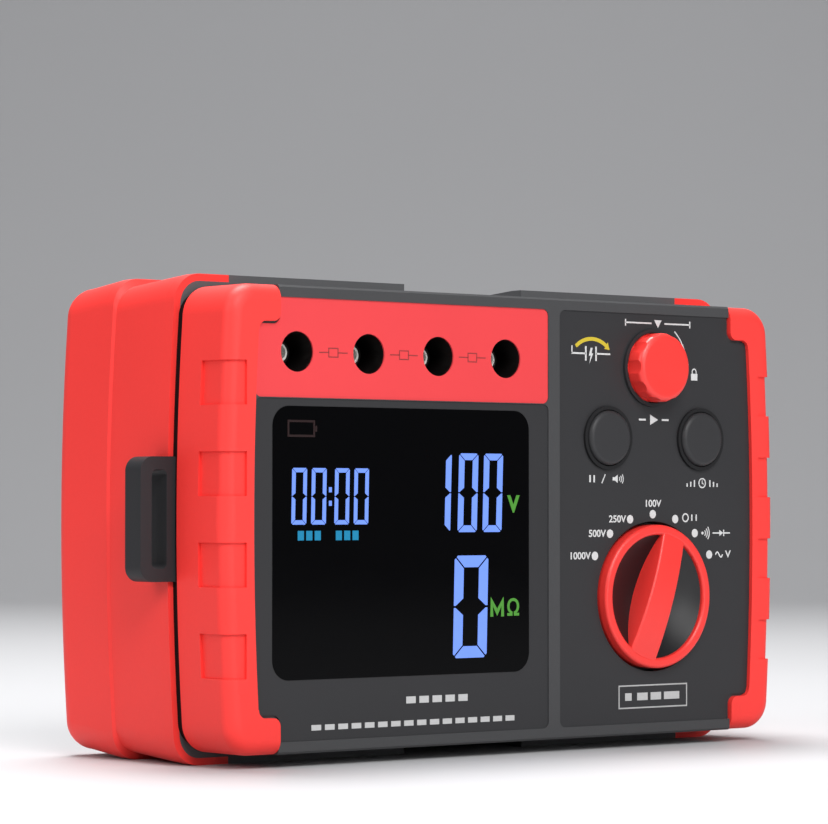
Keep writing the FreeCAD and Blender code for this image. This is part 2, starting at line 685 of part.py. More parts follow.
def make_front(spaces):
    rounded = front_block("front_round", "-bumper_rise", "0", ("Fillet", "bumper_round"))
    for side, sign, _ in sides():
        raw = common(f"front_bumper_{side}_raw", rounded, spaces[side])
        keep(cut(f"front_bumper_{side}_cut", raw, grip_tool(side, sign)), f"front_bumper_{side}")
    outer = front_block("front_outer", "0", "0", ("Chamfer", "front_chamfer"))
    hollow = front_block("front_hollow", "front_wall", HOLLOW)
    skin = cut("front_skin", outer, spaces["left"], spaces["right"], hollow)
    cup = disc("selector_cup", f"{CUP_RADIUS} + cup_wall", ("front_wall/2", CUP_END), "knob_x", "knob_z")
    posts = [disc("front_post", "post_radius", ("front_wall/2", "front_depth"), x, z)
             for x, z in post_spots()]
    solid = fuse("front_solid", skin, cup, *posts)
    front = "-bumper_rise"
    holes = overlays("bed", (front, "panel_bed"))
    holes.append(window_plate("window_bed", (front, WINDOW_BACK)))
    holes.append(window_plate("window_opening", (front, "2*front_wall"), "window_ledge"))
    for number in range(4):
        holes.append(disc("jack_hole", "well_radius + jack_lip", (front, "2*front_wall"), jack_x(number),
                          "jack_height"))
    holes.append(disc("selector_well", CUP_RADIUS, (front, CUP_FLOOR), "knob_x", "knob_z"))
    holes.append(disc("hub_hole", "hub_radius + hub_gap", (front, f"{CUP_END} + overcut"),
                      "knob_x", "knob_z"))
    holes.append(disc("collar_hole", COLLAR_RADIUS, (front, "2*front_wall"), "test_x", "test_z"))
    holes.append(disc("catch_room", GUIDE_RADIUS, ("collar_seat", "2*front_wall"), "test_x", "test_z"))
    for x in ("key_left", "key_right"):
        holes.append(disc("key_ring_bed", KEY_RING, (front, "panel_bed"), x, "key_z"))
        holes.append(disc("key_hole", KEY_HOLE, (front, "2*front_wall"), x, "key_z"))
    for x, z in post_spots():
        holes.append(disc("insert_hole", "insert_radius",
                          ("front_depth - insert_length", "front_depth + overcut"), x, z))
    keep(cut("front_shell_cut", solid, *holes), "front_shell")


def ear_room(name, side, up):
    """The room around one ear of a bumper, on the side and end whose signs are given."""
    near, low = f"{EAR_X} - ear_gap", f"{EAR_Z} - ear_gap"
    x = (near, "width") if side == "" else ("-width", f"-({near})")
    z = (low, "rear_height") if up == "" else ("-rear_height", f"-({low})")
    return plate(name, x, ("0", "front_wall"), z, "ear_round")


def make_panels(spaces):
    """Jack plate, display bezel and control panel, bedded in the front shell."""
    y = ("panel_sink", "panel_bed")
    jacks, bezel, controls = overlays("panel", y)
    room = ("0", "front_wall")
    wells = [disc("plate_hole", "well_radius", room, jack_x(n), "jack_height") for n in range(4)]
    wells.append(ear_room("plate_ear_room", "-", ""))
    keep(cut("jack_plate_cut", jacks, spaces["left"], *wells), "jack_plate")
    opening = window_plate("bezel_opening", room)
    corner = ear_room("bezel_ear_room", "-", "-")
    keep(cut("display_bezel_cut", bezel, spaces["left"], opening, corner), "display_bezel")
    rings = [disc("panel_ring_hole", KEY_RING, room, x, "key_z") for x in ("key_left", "key_right")]
    rings.append(disc("panel_knob_hole", CUP_RADIUS, room, "knob_x", "knob_z"))
    rings.append(disc("panel_test_hole", COLLAR_RADIUS, room, "test_x", "test_z"))
    rings += [ear_room("control_ear_room", "", up) for up in ("", "-")]
    keep(cut("control_panel_cut", controls, spaces["right"], *rings), "control_panel")


def lug_outline(name, turn):
    """One strap lug: a rounded plate with a long slot, rooted in the case's side."""
    item = body(name, turn=turn)
    outline = sketch(item, "lug_start")
    slot_out = f"{LUG_X} - lug_bar"
    slot_in = f"{slot_out} - slot_width"
    loop(outline, [(ROOT_X, "-lug_half"), (LUG_X, "-lug_half"), (LUG_X, "lug_half"), (ROOT_X, "lug_half")])
    loop(outline, [(slot_in, "-slot_half"), (slot_out, "-slot_half"), (slot_out, "slot_half"),
                   (slot_in, "slot_half")])
    pad(item, outline, "lug_depth")
    dress(item, "Fillet", "lug_round", lambda edge: runs_back(edge)
          and abs(edge.CenterOfMass.x - value(LUG_X)) < 1e-4)
    dress(item, "Fillet", "slot_width/3", lambda edge: runs_back(edge)
          and abs(abs(edge.CenterOfMass.z) - value("slot_half")) < 1e-4)
    return item


def lug_roots():
    """The room that the lugs' roots take out of the case."""
    y = ("lug_start", "lug_start + lug_depth")
    z = ("-lug_half", "lug_half")
    return [block("lug_room", (ROOT_X, "width"), y, z), block("lug_room", ("-width", "-" + ROOT_X), y, z)]


def make_rear():
    outer = rear_block("rear_outer", "0")
    core = rear_block("rear_core", CORE)
    hollow = rear_block("rear_hollow", HOLLOW)
    depth = (f"{REAR_START} - overcut", "case_depth + overcut")
    tall = ("-rear_height", "rear_height")
    roots = lug_roots()
    heads = [disc("head_room", "screw_head + screw_gap", (HEAD_SEAT, "case_depth + overcut"), x, z)
             for x, z in post_spots()]
    spaces = []
    inner = f"({SIDE} - rear_width)"
    for side, reach in (("right", (inner, "width")), ("left", ("-width", "-" + inner))):
        space = cut(f"rear_space_{side}", block(f"rear_side_{side}", reach, depth, tall), core)
        spaces.append(space)
        raw = common(f"rear_bumper_{side}_raw", outer, space)
        keep(cut(f"rear_bumper_{side}_cut", raw, *roots, *heads), f"rear_bumper_{side}")
    skin = cut("rear_skin", outer, *spaces, hollow)
    posts = [disc("rear_post", "post_radius", (REAR_START, HEAD_SEAT), x, z) for x, z in post_spots()]
    solid = fuse("rear_solid", skin, *posts)
    holes = list(roots) + list(heads)
    for x, z in post_spots():
        holes.append(disc("post_bore", SCREW_BORE, (f"{REAR_START} - overcut", "case_depth"), x, z))
    notch = (f"{REAR_START} - overcut", f"{REAR_START} + notch_run")
    across = ("-notch_half", "notch_half")
    holes.append(block("top_notch", across, notch, ("rear_height/2 - notch_depth", "rear_height")))
    holes.append(block("low_notch", across, notch, ("-rear_height", "notch_depth - rear_height/2")))
    holes.append(plate("door_opening", (f"-({DOOR_X} + door_gap)", f"{DOOR_X} + door_gap"),
                       (f"{REAR_INSIDE} - overcut", "case_depth + overcut"),
                       (f"-({DOOR_Z} + door_gap)", f"{DOOR_Z} + door_gap"), "door_round"))
    keep(cut("rear_shell_cut", solid, *holes), "rear_shell")
    for side, _, turn in sides():
        keep(lug_outline(f"lug_{side}", turn), f"strap_lug_{side}")


def make_gasket():
    """The dark seam: a soft ring squeezed between the two halves."""
    item = body("gasket_ring")
    inner = HOLLOW
    outline = sketch(item, "front_depth")
    bowed(outline, "width/2 - seam_sink", "front_height/2 - seam_sink", "corner_radius - seam_sink",
          "side_radius - seam_sink")
    pad(item, outline, "seam_gap")
    hollow = body("gasket_hollow")
    bore = sketch(hollow, "front_depth - overcut")
    bowed(bore, f"width/2 - ({inner})", f"front_height/2 - ({inner})", f"corner_radius - ({inner})",
          f"side_radius - ({inner})")
    pad(hollow, bore, "seam_gap + 2*overcut")
    through = ("front_depth - overcut", f"{REAR_START} + overcut")
    bores = [disc("gasket_bore", SCREW_BORE, through, x, z) for x, z in post_spots()]
    rings = [disc("gasket_eye", "post_radius", ("front_depth", REAR_START), x, z) for x, z in post_spots()]
    whole = fuse("gasket_whole", cut("gasket_band", item, hollow), *rings)
    keep(cut("gasket_cut", whole, *bores, *lug_roots()), "seam_gasket")


def make_case_screws():
    start = "front_depth - insert_length"
    screws, inserts = [], []
    face = ("case_depth - head_sink - cross_depth", "case_depth")
    reach, half = "0.75*screw_head", "cross_width/2"
    for x, z in post_spots():
        shank = disc("case_shank", "screw_radius", (start, HEAD_SEAT), x, z)
        head = disc("case_head", "screw_head", (HEAD_SEAT, "case_depth - head_sink"), x, z)
        slot = block("case_slot", (f"{x} - {half}", f"{x} + {half}"), face,
                     (f"{z} - {reach}", f"{z} + {reach}"))
        slot_across = block("case_slot", (f"{x} - {reach}", f"{x} + {reach}"), face,
                            (f"{z} - {half}", f"{z} + {half}"))
        screws.append(cut("case_screw", fuse("case_screw_blank", shank, head), slot, slot_across))
        inserts.append(tube("case_insert", "insert_radius", "screw_radius", (start, "front_depth"), x, z))
    keep(group("case_screw_set", *screws), "case_screws")
    keep(group("case_insert_set", *inserts), "case_inserts")


# ---------------------------------------------------------------- display

def make_display():
    keep(window_plate("window_glass", ("window_sink", WINDOW_BACK)), "display_window")
    x = (WINDOW_X, "window_right")
    z = ("window_low", "window_high")
    inside = [(f"{low} + holder_wall", f"{high} - holder_wall") for low, high in (x, z)]
    holder = block("holder_outside", x, ("front_wall", "board_front"), z)
    room = block("holder_inside", inside[0], ("front_wall - overcut", "board_front + overcut"), inside[1])
    keep(cut("holder_cut", holder, room), "lcd_frame")
    glass = [(f"{low} + glass_margin", f"{high} - glass_margin") for low, high in inside]
    glass_end = "front_wall + glass_thick"
    keep(block("lcd", glass[0], ("front_wall", glass_end), glass[1]), "lcd_glass")
    low, high = glass[1]
    light = (f"{low} + 2*strip_height", f"{high} - 2*strip_height")
    keep(block("light_guide", glass[0], (glass_end, f"{glass_end} + backlight_thick"), light), "backlight")
    strips = []
    along = (f"{glass[0][0]} + strip_height", f"{glass[0][1]} - strip_height")
    for start in (f"{low} + strip_height/2", f"{high} - 3*strip_height/2"):
        strips.append(block("zebra", along, (glass_end, "board_front"), (start, f"{start} + strip_height")))
    keep(group("zebra_pair", *strips), "zebra_strips")


# ---------------------------------------------------------------- jacks

def make_jacks():
    contacts = []
    for number in range(4):
        x, z = jack_x(number), "jack_height"
        end = "well_depth + jack_floor"
        barrel = disc("jack_barrel", "well_radius + jack_wall", ("front_wall", end), x, z)
        lip = disc("jack_lip_ring", "well_radius + jack_lip", ("panel_bed", end), x, z)
        outside = fuse("jack_outside", barrel, lip)
        well = tube("jack_well", "well_radius", "sleeve_radius", ("front_wall - overcut", "well_depth"), x, z)
        mouth = disc("jack_mouth", "well_radius", ("0", "sleeve_set"), x, z)
        core = disc("jack_core", "contact_radius", ("sleeve_set - overcut", f"{end} + overcut"), x, z)
        keep(cut("jack_cut", outside, well, mouth, core), f"jack_body_{number + 1}")
        contacts.append(tube("jack_contact", "contact_radius", "contact_bore",
                             ("sleeve_set + contact_set", f"{end} + contact_tail"), x, z))
    keep(group("contact_set", *contacts), "jack_contacts")


# ---------------------------------------------------------------- selector

def knob_sketch(owner, y, *radii):
    outline = sketch(owner, y)
    for radius in radii:
        ring(outline, radius)
    return outline


def bar_outline(outline, wider="0"):
    """The selector's grip bar: narrow at its pointing end."""
    reach, tail, tip = "knob_radius - ring_wall/2", f"bar_tail + {wider}", f"bar_tip + {wider}"
    return loop(outline, [(f"-({tail})", f"-({reach})"), (tail, f"-({reach})"), (tip, reach),
                          (f"-({tip})", reach)])


def selector_body(name):
    return body(name, "knob_x", "0", "knob_z", REST_TURN)


def make_bar():
    """The grip bar: its sides lean in towards the top, and its top rises from the ring in a bow."""
    form = selector_body("bar_form")
    foot = bar_outline(sketch(form, BASE_TOP), "bar_draft")
    top = bar_outline(sketch(form, f"-({BAR_TOP}) - overcut"))
    loft = form.newObject("PartDesign::AdditiveLoft", "bar_loft")
    loft.Profile = foot
    loft.Sections = [top]
    loft.Ruled = True
    doc.recompute()
    bow = doc.addObject("Part::Cylinder", "bar_bow")
    bow.Placement = FreeCAD.Placement(V(), FreeCAD.Rotation(V(0, 1, 0), REST_TURN + 90))
    radius = f"({DISH_RADIUS}*{DISH_RADIUS} + bar_rise*bar_rise)/(2*bar_rise)"
    bind(bow, "Radius", radius)
    bind(bow, "Height", "2*knob_radius")
    turn = f"sin({REST_TURN + 90})", f"cos({REST_TURN + 90})"
    place(bow, f"knob_x - knob_radius*{turn[0]}", f"({radius} - ({BAR_TOP}))",
          f"knob_z - knob_radius*{turn[1]}")
    blank = common("bar_blank", form, bow)
    doc.recompute()
    crest = next(face for face in blank.Shape.Faces if isinstance(face.Surface, Part.Cylinder))
    sides_of = [i for i, edge in enumerate(blank.Shape.Edges, 1) if edge.Length > value("knob_radius")
                and any(edge.isSame(other) for other in crest.Edges)]
    smooth = doc.addObject("Part::Fillet", "bar_smooth")
    smooth.Base = blank
    smooth.Edges = [(i, value("bar_round"), value("bar_round")) for i in sides_of]
    return smooth


def make_selector():
    knob = selector_body("selector_form")
    pad(knob, knob_sketch(knob, BASE_TOP, "knob_radius"), "knob_base")
    rim = knob_sketch(knob, "-knob_rise", "knob_radius", DISH_RADIUS)
    pad(knob, rim, f"knob_rise + {BASE_TOP}")
    pad(knob, knob_sketch(knob, BASE_END, "hub_radius"), f"{ROTOR_START} - ({BASE_END})")
    dress(knob, "Fillet", "ring_round", flat_at(-value("knob_rise")))
    bar = make_bar()
    keep(fuse("selector_whole", knob, bar), "selector_knob")
    floor = selector_body("insert_form")
    pad(floor, knob_sketch(floor, "-dish_rise", DISH_RADIUS), f"dish_rise + {BASE_TOP}")
    dish = doc.addObject("Part::Sphere", "dish_sphere")
    radius = f"({DISH_RADIUS}*{DISH_RADIUS} + {DISH_DEPTH}*{DISH_DEPTH})/(2*{DISH_DEPTH})"
    bind(dish, "Radius", radius)
    place(dish, "knob_x", f"(insert_depth - {radius})", "knob_z")
    keep(cut("insert_cut", floor, dish, bar), "knob_insert")
    spot = ("knob_x", "knob_z")
    pockets, balls, dimples = [], [], []
    middle = f"{ROTOR_START} + detent_ball/3"
    pocket_ends = (f"{ROTOR_START} - overcut", f"{ROTOR_START} + 4/3*detent_ball")
    for number in range(DETENTS):
        turn = 360 * number / DETENTS
        x = f"knob_x + detent_radius*sin({turn})"
        z = f"knob_z + detent_radius*cos({turn})"
        dimples.append(disc("dimple", "detent_ball", (CUP_END, ROTOR_START), x, z))
        if number % 3 == 0:
            pockets.append(disc("ball_pocket", "detent_ball", pocket_ends, x, z))
            ball = doc.addObject("Part::Sphere", "detent_sphere")
            bind(ball, "Radius", "detent_ball")
            balls.append(place(ball, x, middle, z))
    keep(cut("rotor_cut", disc("rotor", "rotor_radius", (ROTOR_START, ROTOR_END), *spot), *pockets),
         "selector_rotor")
    keep(group("ball_set", *balls), "detent_balls")
    detent = tube("detent_blank", "rotor_radius", "rotor_radius - detent_width",
                  (CUP_END, f"{CUP_END} + detent_thick"), *spot)
    keep(cut("detent_cut", detent, *dimples), "detent_ring")
    wipers = []
    for number in range(WIPERS):
        x = f"knob_x + {number + 1}*wiper_pitch"
        leaf = block("wiper_leaf", (f"{x} - wiper_width/2", f"{x} + wiper_width/2"),
                     (ROTOR_END, f"{ROTOR_END} + wiper_thick"),
                     ("knob_z - wiper_reach", "knob_z + wiper_reach"))
        ends = (f"{ROTOR_END} + wiper_thick/2", "board_front - wiper_gap")
        tip = disc("wiper_tip", "0.4*wiper_width", ends, x, "knob_z + 0.75*wiper_reach")
        wipers.append(fuse("wiper", leaf, tip))
    keep(group("wiper_set", *wipers), "wiper_contacts")


# ---------------------------------------------------------------- test knob

def make_test_knob():
    x, z = "test_x", "test_z"
    blank = disc("cap_blank", "test_radius", ("-test_rise", CAP_END), x, z)
    catch = block("cap_catch", (f"{x} - catch_half", f"{x} + catch_half"),
                  ("collar_seat + collar_gap", CAP_END), (z, f"{z} + test_radius + catch_reach"))
    flutes = []
    for number in range(FLUTES):
        turn = 360 * (number + 0.5) / FLUTES
        reach = "(test_radius + flute_radius - flute_depth)"
        flutes.append(disc("flute", "flute_radius", ("-test_rise - overcut", "0"),
                           f"{x} + {reach}*sin({turn})", f"{z} + {reach}*cos({turn})"))
    bore = disc("cap_bore", "stem_radius + stem_gap", ("-test_rise/2", f"{CAP_END} + overcut"), x, z)
    round_cap = doc.addObject("Part::Fillet", "cap_round")
    round_cap.Base = blank
    doc.recompute()
    rims = [i for i, edge in enumerate(blank.Shape.Edges, 1)
            if edge.BoundBox.YMax - blank.Shape.BoundBox.YMin < 1e-4]
    round_cap.Edges = [(i, value("cap_round"), value("cap_round")) for i in rims]
    keep(cut("cap_cut", fuse("cap_whole", round_cap, catch), bore, *flutes), "test_cap")
    shaft = disc("stem_shaft", "stem_radius", ("collar_gap - test_rise/2", "stem_end"), x, z)
    seat = disc("stem_seat", "flange_radius", (FLANGE_START, FLANGE_END), x, z)
    keep(fuse("stem_whole", shaft, seat), "test_stem")
    coil = doc.addObject("Part::Helix", "spring_line")
    bind(coil, "Radius", "spring_radius")
    free = f"guide_end - ({FLANGE_END}) - 2*spring_wire"
    bind(coil, "Height", free)
    bind(coil, "Pitch", f"({free})/{SPRING_TURNS}")
    coil.SegmentLength = 1
    wire = doc.addObject("Part::Circle", "spring_section")
    wire.Placement = FreeCAD.Placement(V(value("spring_radius"), 0, 0), FreeCAD.Rotation(V(1, 0, 0), 90))
    bind(wire, "Placement.Base.x", "spring_radius")
    bind(wire, "Radius", "spring_wire")
    spring = doc.addObject("Part::Sweep", "spring_sweep")
    spring.Sections = [wire]
    spring.Spine = (coil, [])
    spring.Solid = True
    spring.Frenet = True
    spring.Placement = FreeCAD.Placement(V(), ONTO_Y)
    keep(place(spring, x, f"{FLANGE_END} + spring_wire", z), "test_spring")
    keep(tube("collar", COLLAR_RADIUS, COLLAR_BORE, ("-collar_rise", "collar_seat"), x, z),
         "test_collar")
    outside = f"{GUIDE_RADIUS} + guide_wall"
    wall = tube("guide_tube", outside, GUIDE_RADIUS, ("front_wall", "guide_end"), x, z)
    floor = tube("guide_floor", outside, "stem_radius + 2*collar_gap",
                 ("guide_end", "guide_end + guide_wall"), x, z)
    keep(fuse("guide_whole", wall, floor), "test_guide")
    half = "test_switch_width/2"
    keep(block("test_micro_switch", (f"{x} - {half}", f"{x} + {half}"),
               ("board_front - test_switch_thick", "board_front"), (f"{z} - {half}", f"{z} + {half}")),
         "test_switch")


# ---------------------------------------------------------------- keys

def make_keys():
    rings, switches = [], []
    flange = "front_wall + collar_gap"
    for x, label in (("key_left", "hold_key"), ("key_right", "mode_key")):
        key = body(label + "_form", x, "0", "key_z")
        pad(key, knob_sketch(key, "-key_rise", "key_radius"), f"key_rise + {flange}")
        pad(key, knob_sketch(key, flange, "key_radius + key_flange"), "key_flange")
        pad(key, knob_sketch(key, f"{flange} + key_flange", "stem_key"),
            f"board_front - switch_thick - switch_gap - ({flange}) - key_flange")
        dress(key, "Fillet", "key_round", flat_at(-value("key_rise")))
        keep(key, label)
        rings.append(tube("key_ring_solid", KEY_RING, KEY_HOLE, ("-ring_rise", "panel_bed"), x, "key_z"))
        switches.append(block("tact", (f"{x} - switch_width/2", f"{x} + switch_width/2"),
                              ("board_front - switch_thick", "board_front"),
                              ("key_z - switch_width/2", "key_z + switch_width/2")))
    keep(group("key_ring_pair", *rings), "key_rings")
    keep(group("key_switch_pair", *switches), "key_switches")


# ---------------------------------------------------------------- boards and what they carry

def make_boards():
    main = body("main_board_form")
    outline = sketch(main, "board_front")
    notch = "left_in + panel_round"
    loop(outline, [("-" + BOARD_X, "-" + BOARD_Z), (BOARD_X, "-" + BOARD_Z), (BOARD_X, BOARD_Z),
                   (notch, BOARD_Z), (notch, "board_step"), ("-" + BOARD_X, "board_step")])
    pad(main, outline, "board_thick")
    power = plate("power_form", ("-" + BOARD_X, BOARD_X), ("power_front", POWER_BACK),
                  ("-" + POWER_Z, POWER_Z), "panel_round")
    for board, start, end, label in ((main, "board_front", BOARD_BACK, "main_board"),
                                     (power, "power_front", POWER_BACK, "power_board")):
        bores = [disc("board_bore", "board_screw", (f"{start} - overcut", f"{end} + overcut"), x, z)
                 for x, z in spacer_spots()]
        keep(cut(label + "_cut", board, *bores), label)
    spacers, screws = [], []
    for x, z in spacer_spots():
        for ends in (("front_wall", "board_front"), (BOARD_BACK, "power_front")):
            spacers.append(tube("spacer", "spacer_radius", "board_screw", ends, x, z))
        shank = disc("board_shank", "board_screw", ("front_wall + overcut", POWER_BACK), x, z)
        head = disc("board_head", "2*board_screw", (POWER_BACK, f"{POWER_BACK} + board_screw"), x, z)
        screws.append(fuse("board_screw_solid", shank, head))
    keep(group("spacer_set", *spacers), "board_spacers")
    keep(group("board_screw_set", *screws), "board_screws")
    across = ("link_x - link_width/2", "link_x + link_width/2")
    keep(block("link", across, (BOARD_BACK, "power_front"), ("link_z", "link_z + link_thick")), "board_link")
    ends = (BOARD_BACK, f"{BOARD_BACK} + buzzer_thick")
    keep(disc("sounder", "buzzer_radius", ends, "buzzer_x", "buzzer_z"), "buzzer")
    chips = [on_board("chip", BOARD_BACK, x, z, "chip_width", "chip_thick", "chip_width")
             for x, z in CHIP_SPOTS]
    keep(group("chip_set", *chips), "control_chips")


def on_board(name, face, x, z, wide, deep, tall):
    """A block that stands on a board's rear face, centred on x and z."""
    return block(name, (f"{x} - {wide}/2", f"{x} + {wide}/2"), (face, f"{face} + {deep}"),
                 (f"{z} - {tall}/2", f"{z} + {tall}/2"))


def make_power_parts():
    back = POWER_BACK
    core = on_board("core_block", back, "coil_x", "0", "core_width", "core_depth", "core_height")
    bobbin = on_board("bobbin_block", back, "coil_x", "0", "bobbin_width", "bobbin_depth", "bobbin_height")
    keep(fuse("transformer", core, bobbin), "hv_transformer")
    cans = [disc("can", "can_radius", (back, f"{back} + can_depth"), f"can_x + {n}*can_pitch", f"{side}can_z")
            for n in (0, 1) for side in ("", "-")]
    keep(group("can_set", *cans), "hv_capacitors")
    relays = [on_board("relay", back, f"relay_x + {n}*relay_pitch", "0", "relay_width", "relay_depth",
                       "relay_height") for n in range(RELAYS)]
    keep(group("relay_set", *relays), "relays")
    ends = ("resistor_x - resistor_length/2", "resistor_x + resistor_length/2")
    resistors = [rod("resistor", "resistor_radius", ends, f"{back} + resistor_radius", f"{n}*resistor_pitch")
                 for n in (-2, -1, 0, 1, 2)]
    keep(group("resistor_set", *resistors), "discharge_resistors")
    centre = (f"{back} + 2*fuse_radius", "fuse_z")
    ends = ("fuse_x - fuse_length/2", "fuse_x + fuse_length/2")
    keep(rod("fuse_tube", "fuse_radius", ends, *centre), "fuse")
    clips = []
    for side in ("-", "+"):
        x = f"fuse_x {side} (fuse_length - clip_width)/2 "
        holder = on_board("clip_block", back, x, "fuse_z", "clip_width", "2*fuse_radius", "clip_height")
        bore = rod("clip_bore", "fuse_radius", (f"{x} - clip_width", f"{x} + clip_width"), *centre)
        clips.append(cut("clip", holder, bore))
    keep(group("clip_pair", *clips), "fuse_clips")


# ---------------------------------------------------------------- battery bay

def mirrored(reach):
    return f"-({reach})", reach


def make_battery_bay():
    floor = f"{CELL_Y} - cell_radius - cell_gap/4"
    tub = block("tub", mirrored(f"{BAY_X} + tray_wall"), (f"{floor} - tray_wall", REAR_INSIDE),
                mirrored(f"{BAY_Z} + tray_wall"))
    rim = block("tub_rim", mirrored(f"{DOOR_X} + tray_wall"), (f"{REAR_INSIDE} - tray_wall", REAR_INSIDE),
                mirrored(f"{DOOR_Z} + tray_wall"))
    room = block("tub_room", mirrored(BAY_X), (floor, f"{REAR_INSIDE} + overcut"), mirrored(BAY_Z))
    through = (f"{REAR_INSIDE} - 2*tray_wall", f"{REAR_INSIDE} + overcut")
    bores = [disc("rim_bore", "door_screw + collar_gap", through, x) for x in mirrored(DOOR_SCREW_X)]
    keep(cut("tray_cut", fuse("tray_solid", tub, rim), room, *bores), "battery_tray")
    cells, plates = [], []
    near, far = "contact_plate", "(contact_plate + cell_length)"
    deep = (f"{CELL_Y} - plate_half", f"{CELL_Y} + plate_half")
    for row in range(CELL_ROWS):
        z = f"{row - (CELL_ROWS - 1) / 2}*{CELL_PITCH}"
        tall = (f"{z} - plate_half", f"{z} + plate_half")
        for start in (near, "-" + far):
            cells.append(rod("cell", "cell_radius", (start, f"{start} + cell_length"), CELL_Y, z))
        for x in ((f"{BAY_X} - contact_plate", BAY_X), mirrored("contact_plate"),
                  ("-" + BAY_X, f"contact_plate - {BAY_X}")):
            plates.append(block("cell_plate", x, deep, tall))
    keep(group("cell_set", *cells), "battery_cells")
    keep(group("plate_set", *plates), "battery_contacts")


def make_door():
    slab = plate("door_slab", mirrored(DOOR_X), (DOOR_FRONT, "case_depth"), mirrored(DOOR_Z),
                 "door_round - door_gap")
    seat = "(case_depth - door_head_set)"
    spots = (("right", DOOR_SCREW_X), ("left", "-" + DOOR_SCREW_X))
    holes = []
    for _, x in spots:
        holes.append(disc("door_bore", "door_screw + hub_gap", (f"{DOOR_FRONT} - overcut", "case_depth"), x))
        holes.append(disc("door_head_bore", "door_head + screw_gap", (seat, "case_depth + overcut"), x))
    keep(cut("door_cut", slab, *holes), "battery_door")
    ends = (f"{DOOR_FRONT} - seal_thick", DOOR_FRONT)
    inner_x, inner_z = f"{BAY_X} + bay_room", f"{BAY_Z} + bay_room"
    outer = plate("seal_outer", mirrored(f"{inner_x} + seal_width"), ends,
                  mirrored(f"{inner_z} + seal_width"), "panel_round")
    through = (f"{DOOR_FRONT} - 2*seal_thick", f"{DOOR_FRONT} + overcut")
    inner = block("seal_inner", mirrored(inner_x), through, mirrored(inner_z))
    keep(cut("seal_cut", outer, inner), "door_seal")
    lift = f"({seat} + hub_gap)"
    for side, x in spots:
        shank = disc("door_shank", "door_screw", (f"{REAR_INSIDE} - tray_wall", lift), x)
        head = disc("door_screw_head", "door_head", (lift, "case_depth - screw_gap"), x)
        slot = block("door_slot", (f"{x} - 0.75*door_head", f"{x} + 0.75*door_head"),
                     ("case_depth - cross_width", "case_depth"), mirrored("cross_width/2"))
        keep(cut("door_screw_cut", fuse("door_screw_blank", shank, head), slot), f"door_screw_{side}")


# ---------------------------------------------------------------- build

def faults():
    """Objects that failed to build, and sub-parts with no sound solid."""
    found = [f"{o.Label}: {o.State}" for o in doc.Objects if "Invalid" in o.State or "Error" in o.State]
    for piece in pieces:
        shape = piece.Shape
        if shape.isNull() or not shape.isValid() or shape.Volume <= 0 or not shape.Solids:
            found.append(f"{piece.Label}: no sound solid")
    return found


def main():
    fill_sheet()
    spaces = side_spaces()
    make_front(spaces)
    make_panels(spaces)
    make_rear()
    make_gasket()
    make_case_screws()
    make_display()
    make_jacks()
    make_selector()
    make_test_knob()
    make_keys()
    make_boards()
    make_power_parts()
    make_battery_bay()
    make_door()
    doc.recompute()
    wrong = faults()
    if wrong:
        raise RuntimeError("\n".join(wrong))
    os.makedirs("parts", exist_ok=True)
    for piece in pieces:
        piece.Shape.exportStep(f"parts/{piece.Label}.step")
        print(f"{piece.Label:24s} {len(piece.Shape.Solids):3d} solids {piece.Shape.Volume / 1000:9.2f} cm3")


main()
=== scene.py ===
import json
import math

import bmesh
import bpy
from bpy.props import FloatProperty, FloatVectorProperty, PointerProperty
from bpy.types import Operator, Panel, PropertyGroup
from mathutils import Matrix, Vector


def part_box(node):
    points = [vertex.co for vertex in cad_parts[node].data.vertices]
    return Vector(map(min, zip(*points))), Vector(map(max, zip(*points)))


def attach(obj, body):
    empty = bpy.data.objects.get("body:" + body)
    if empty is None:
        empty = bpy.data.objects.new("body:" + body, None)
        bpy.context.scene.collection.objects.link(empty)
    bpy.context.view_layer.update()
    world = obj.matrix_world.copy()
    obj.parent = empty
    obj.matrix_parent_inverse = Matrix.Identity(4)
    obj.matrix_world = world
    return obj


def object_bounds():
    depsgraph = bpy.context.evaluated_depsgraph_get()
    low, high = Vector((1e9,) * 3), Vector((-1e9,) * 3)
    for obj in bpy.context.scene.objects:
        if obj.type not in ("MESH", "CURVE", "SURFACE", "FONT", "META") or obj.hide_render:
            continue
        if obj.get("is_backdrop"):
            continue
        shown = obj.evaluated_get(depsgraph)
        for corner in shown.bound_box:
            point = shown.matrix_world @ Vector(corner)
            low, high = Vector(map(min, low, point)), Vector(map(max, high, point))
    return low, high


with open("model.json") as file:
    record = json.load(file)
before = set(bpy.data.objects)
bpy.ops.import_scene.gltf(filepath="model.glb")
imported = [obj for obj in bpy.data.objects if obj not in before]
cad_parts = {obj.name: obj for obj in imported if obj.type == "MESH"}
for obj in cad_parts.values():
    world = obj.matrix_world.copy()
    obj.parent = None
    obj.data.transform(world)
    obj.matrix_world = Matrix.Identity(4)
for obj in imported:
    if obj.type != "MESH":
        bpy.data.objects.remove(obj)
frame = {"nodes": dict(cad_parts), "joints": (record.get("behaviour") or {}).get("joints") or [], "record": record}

bl_info = {
    "name": "Insulation Tester Finish",
    "version": (1, 0, 0),
    "blender": (4, 5, 0),
    "location": "View3D > Sidebar > Tester",
    "description": "Finishes, printed marks and display of a hand-carried insulation resistance tester",
    "category": "Object",
}

MM = 0.001
LOW, HIGH = (Vector(corner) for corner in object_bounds())
PANEL_MIDDLE = Vector(((LOW.x + HIGH.x) / 2, (LOW.z + HIGH.z) / 2))
HOUSING = "housing"


# ---------------------------------------------------------------- settings

def colour(name, text, default):
    return FloatVectorProperty(name=name, description=text, subtype="COLOR", size=3, min=0, max=1,
                               default=default)


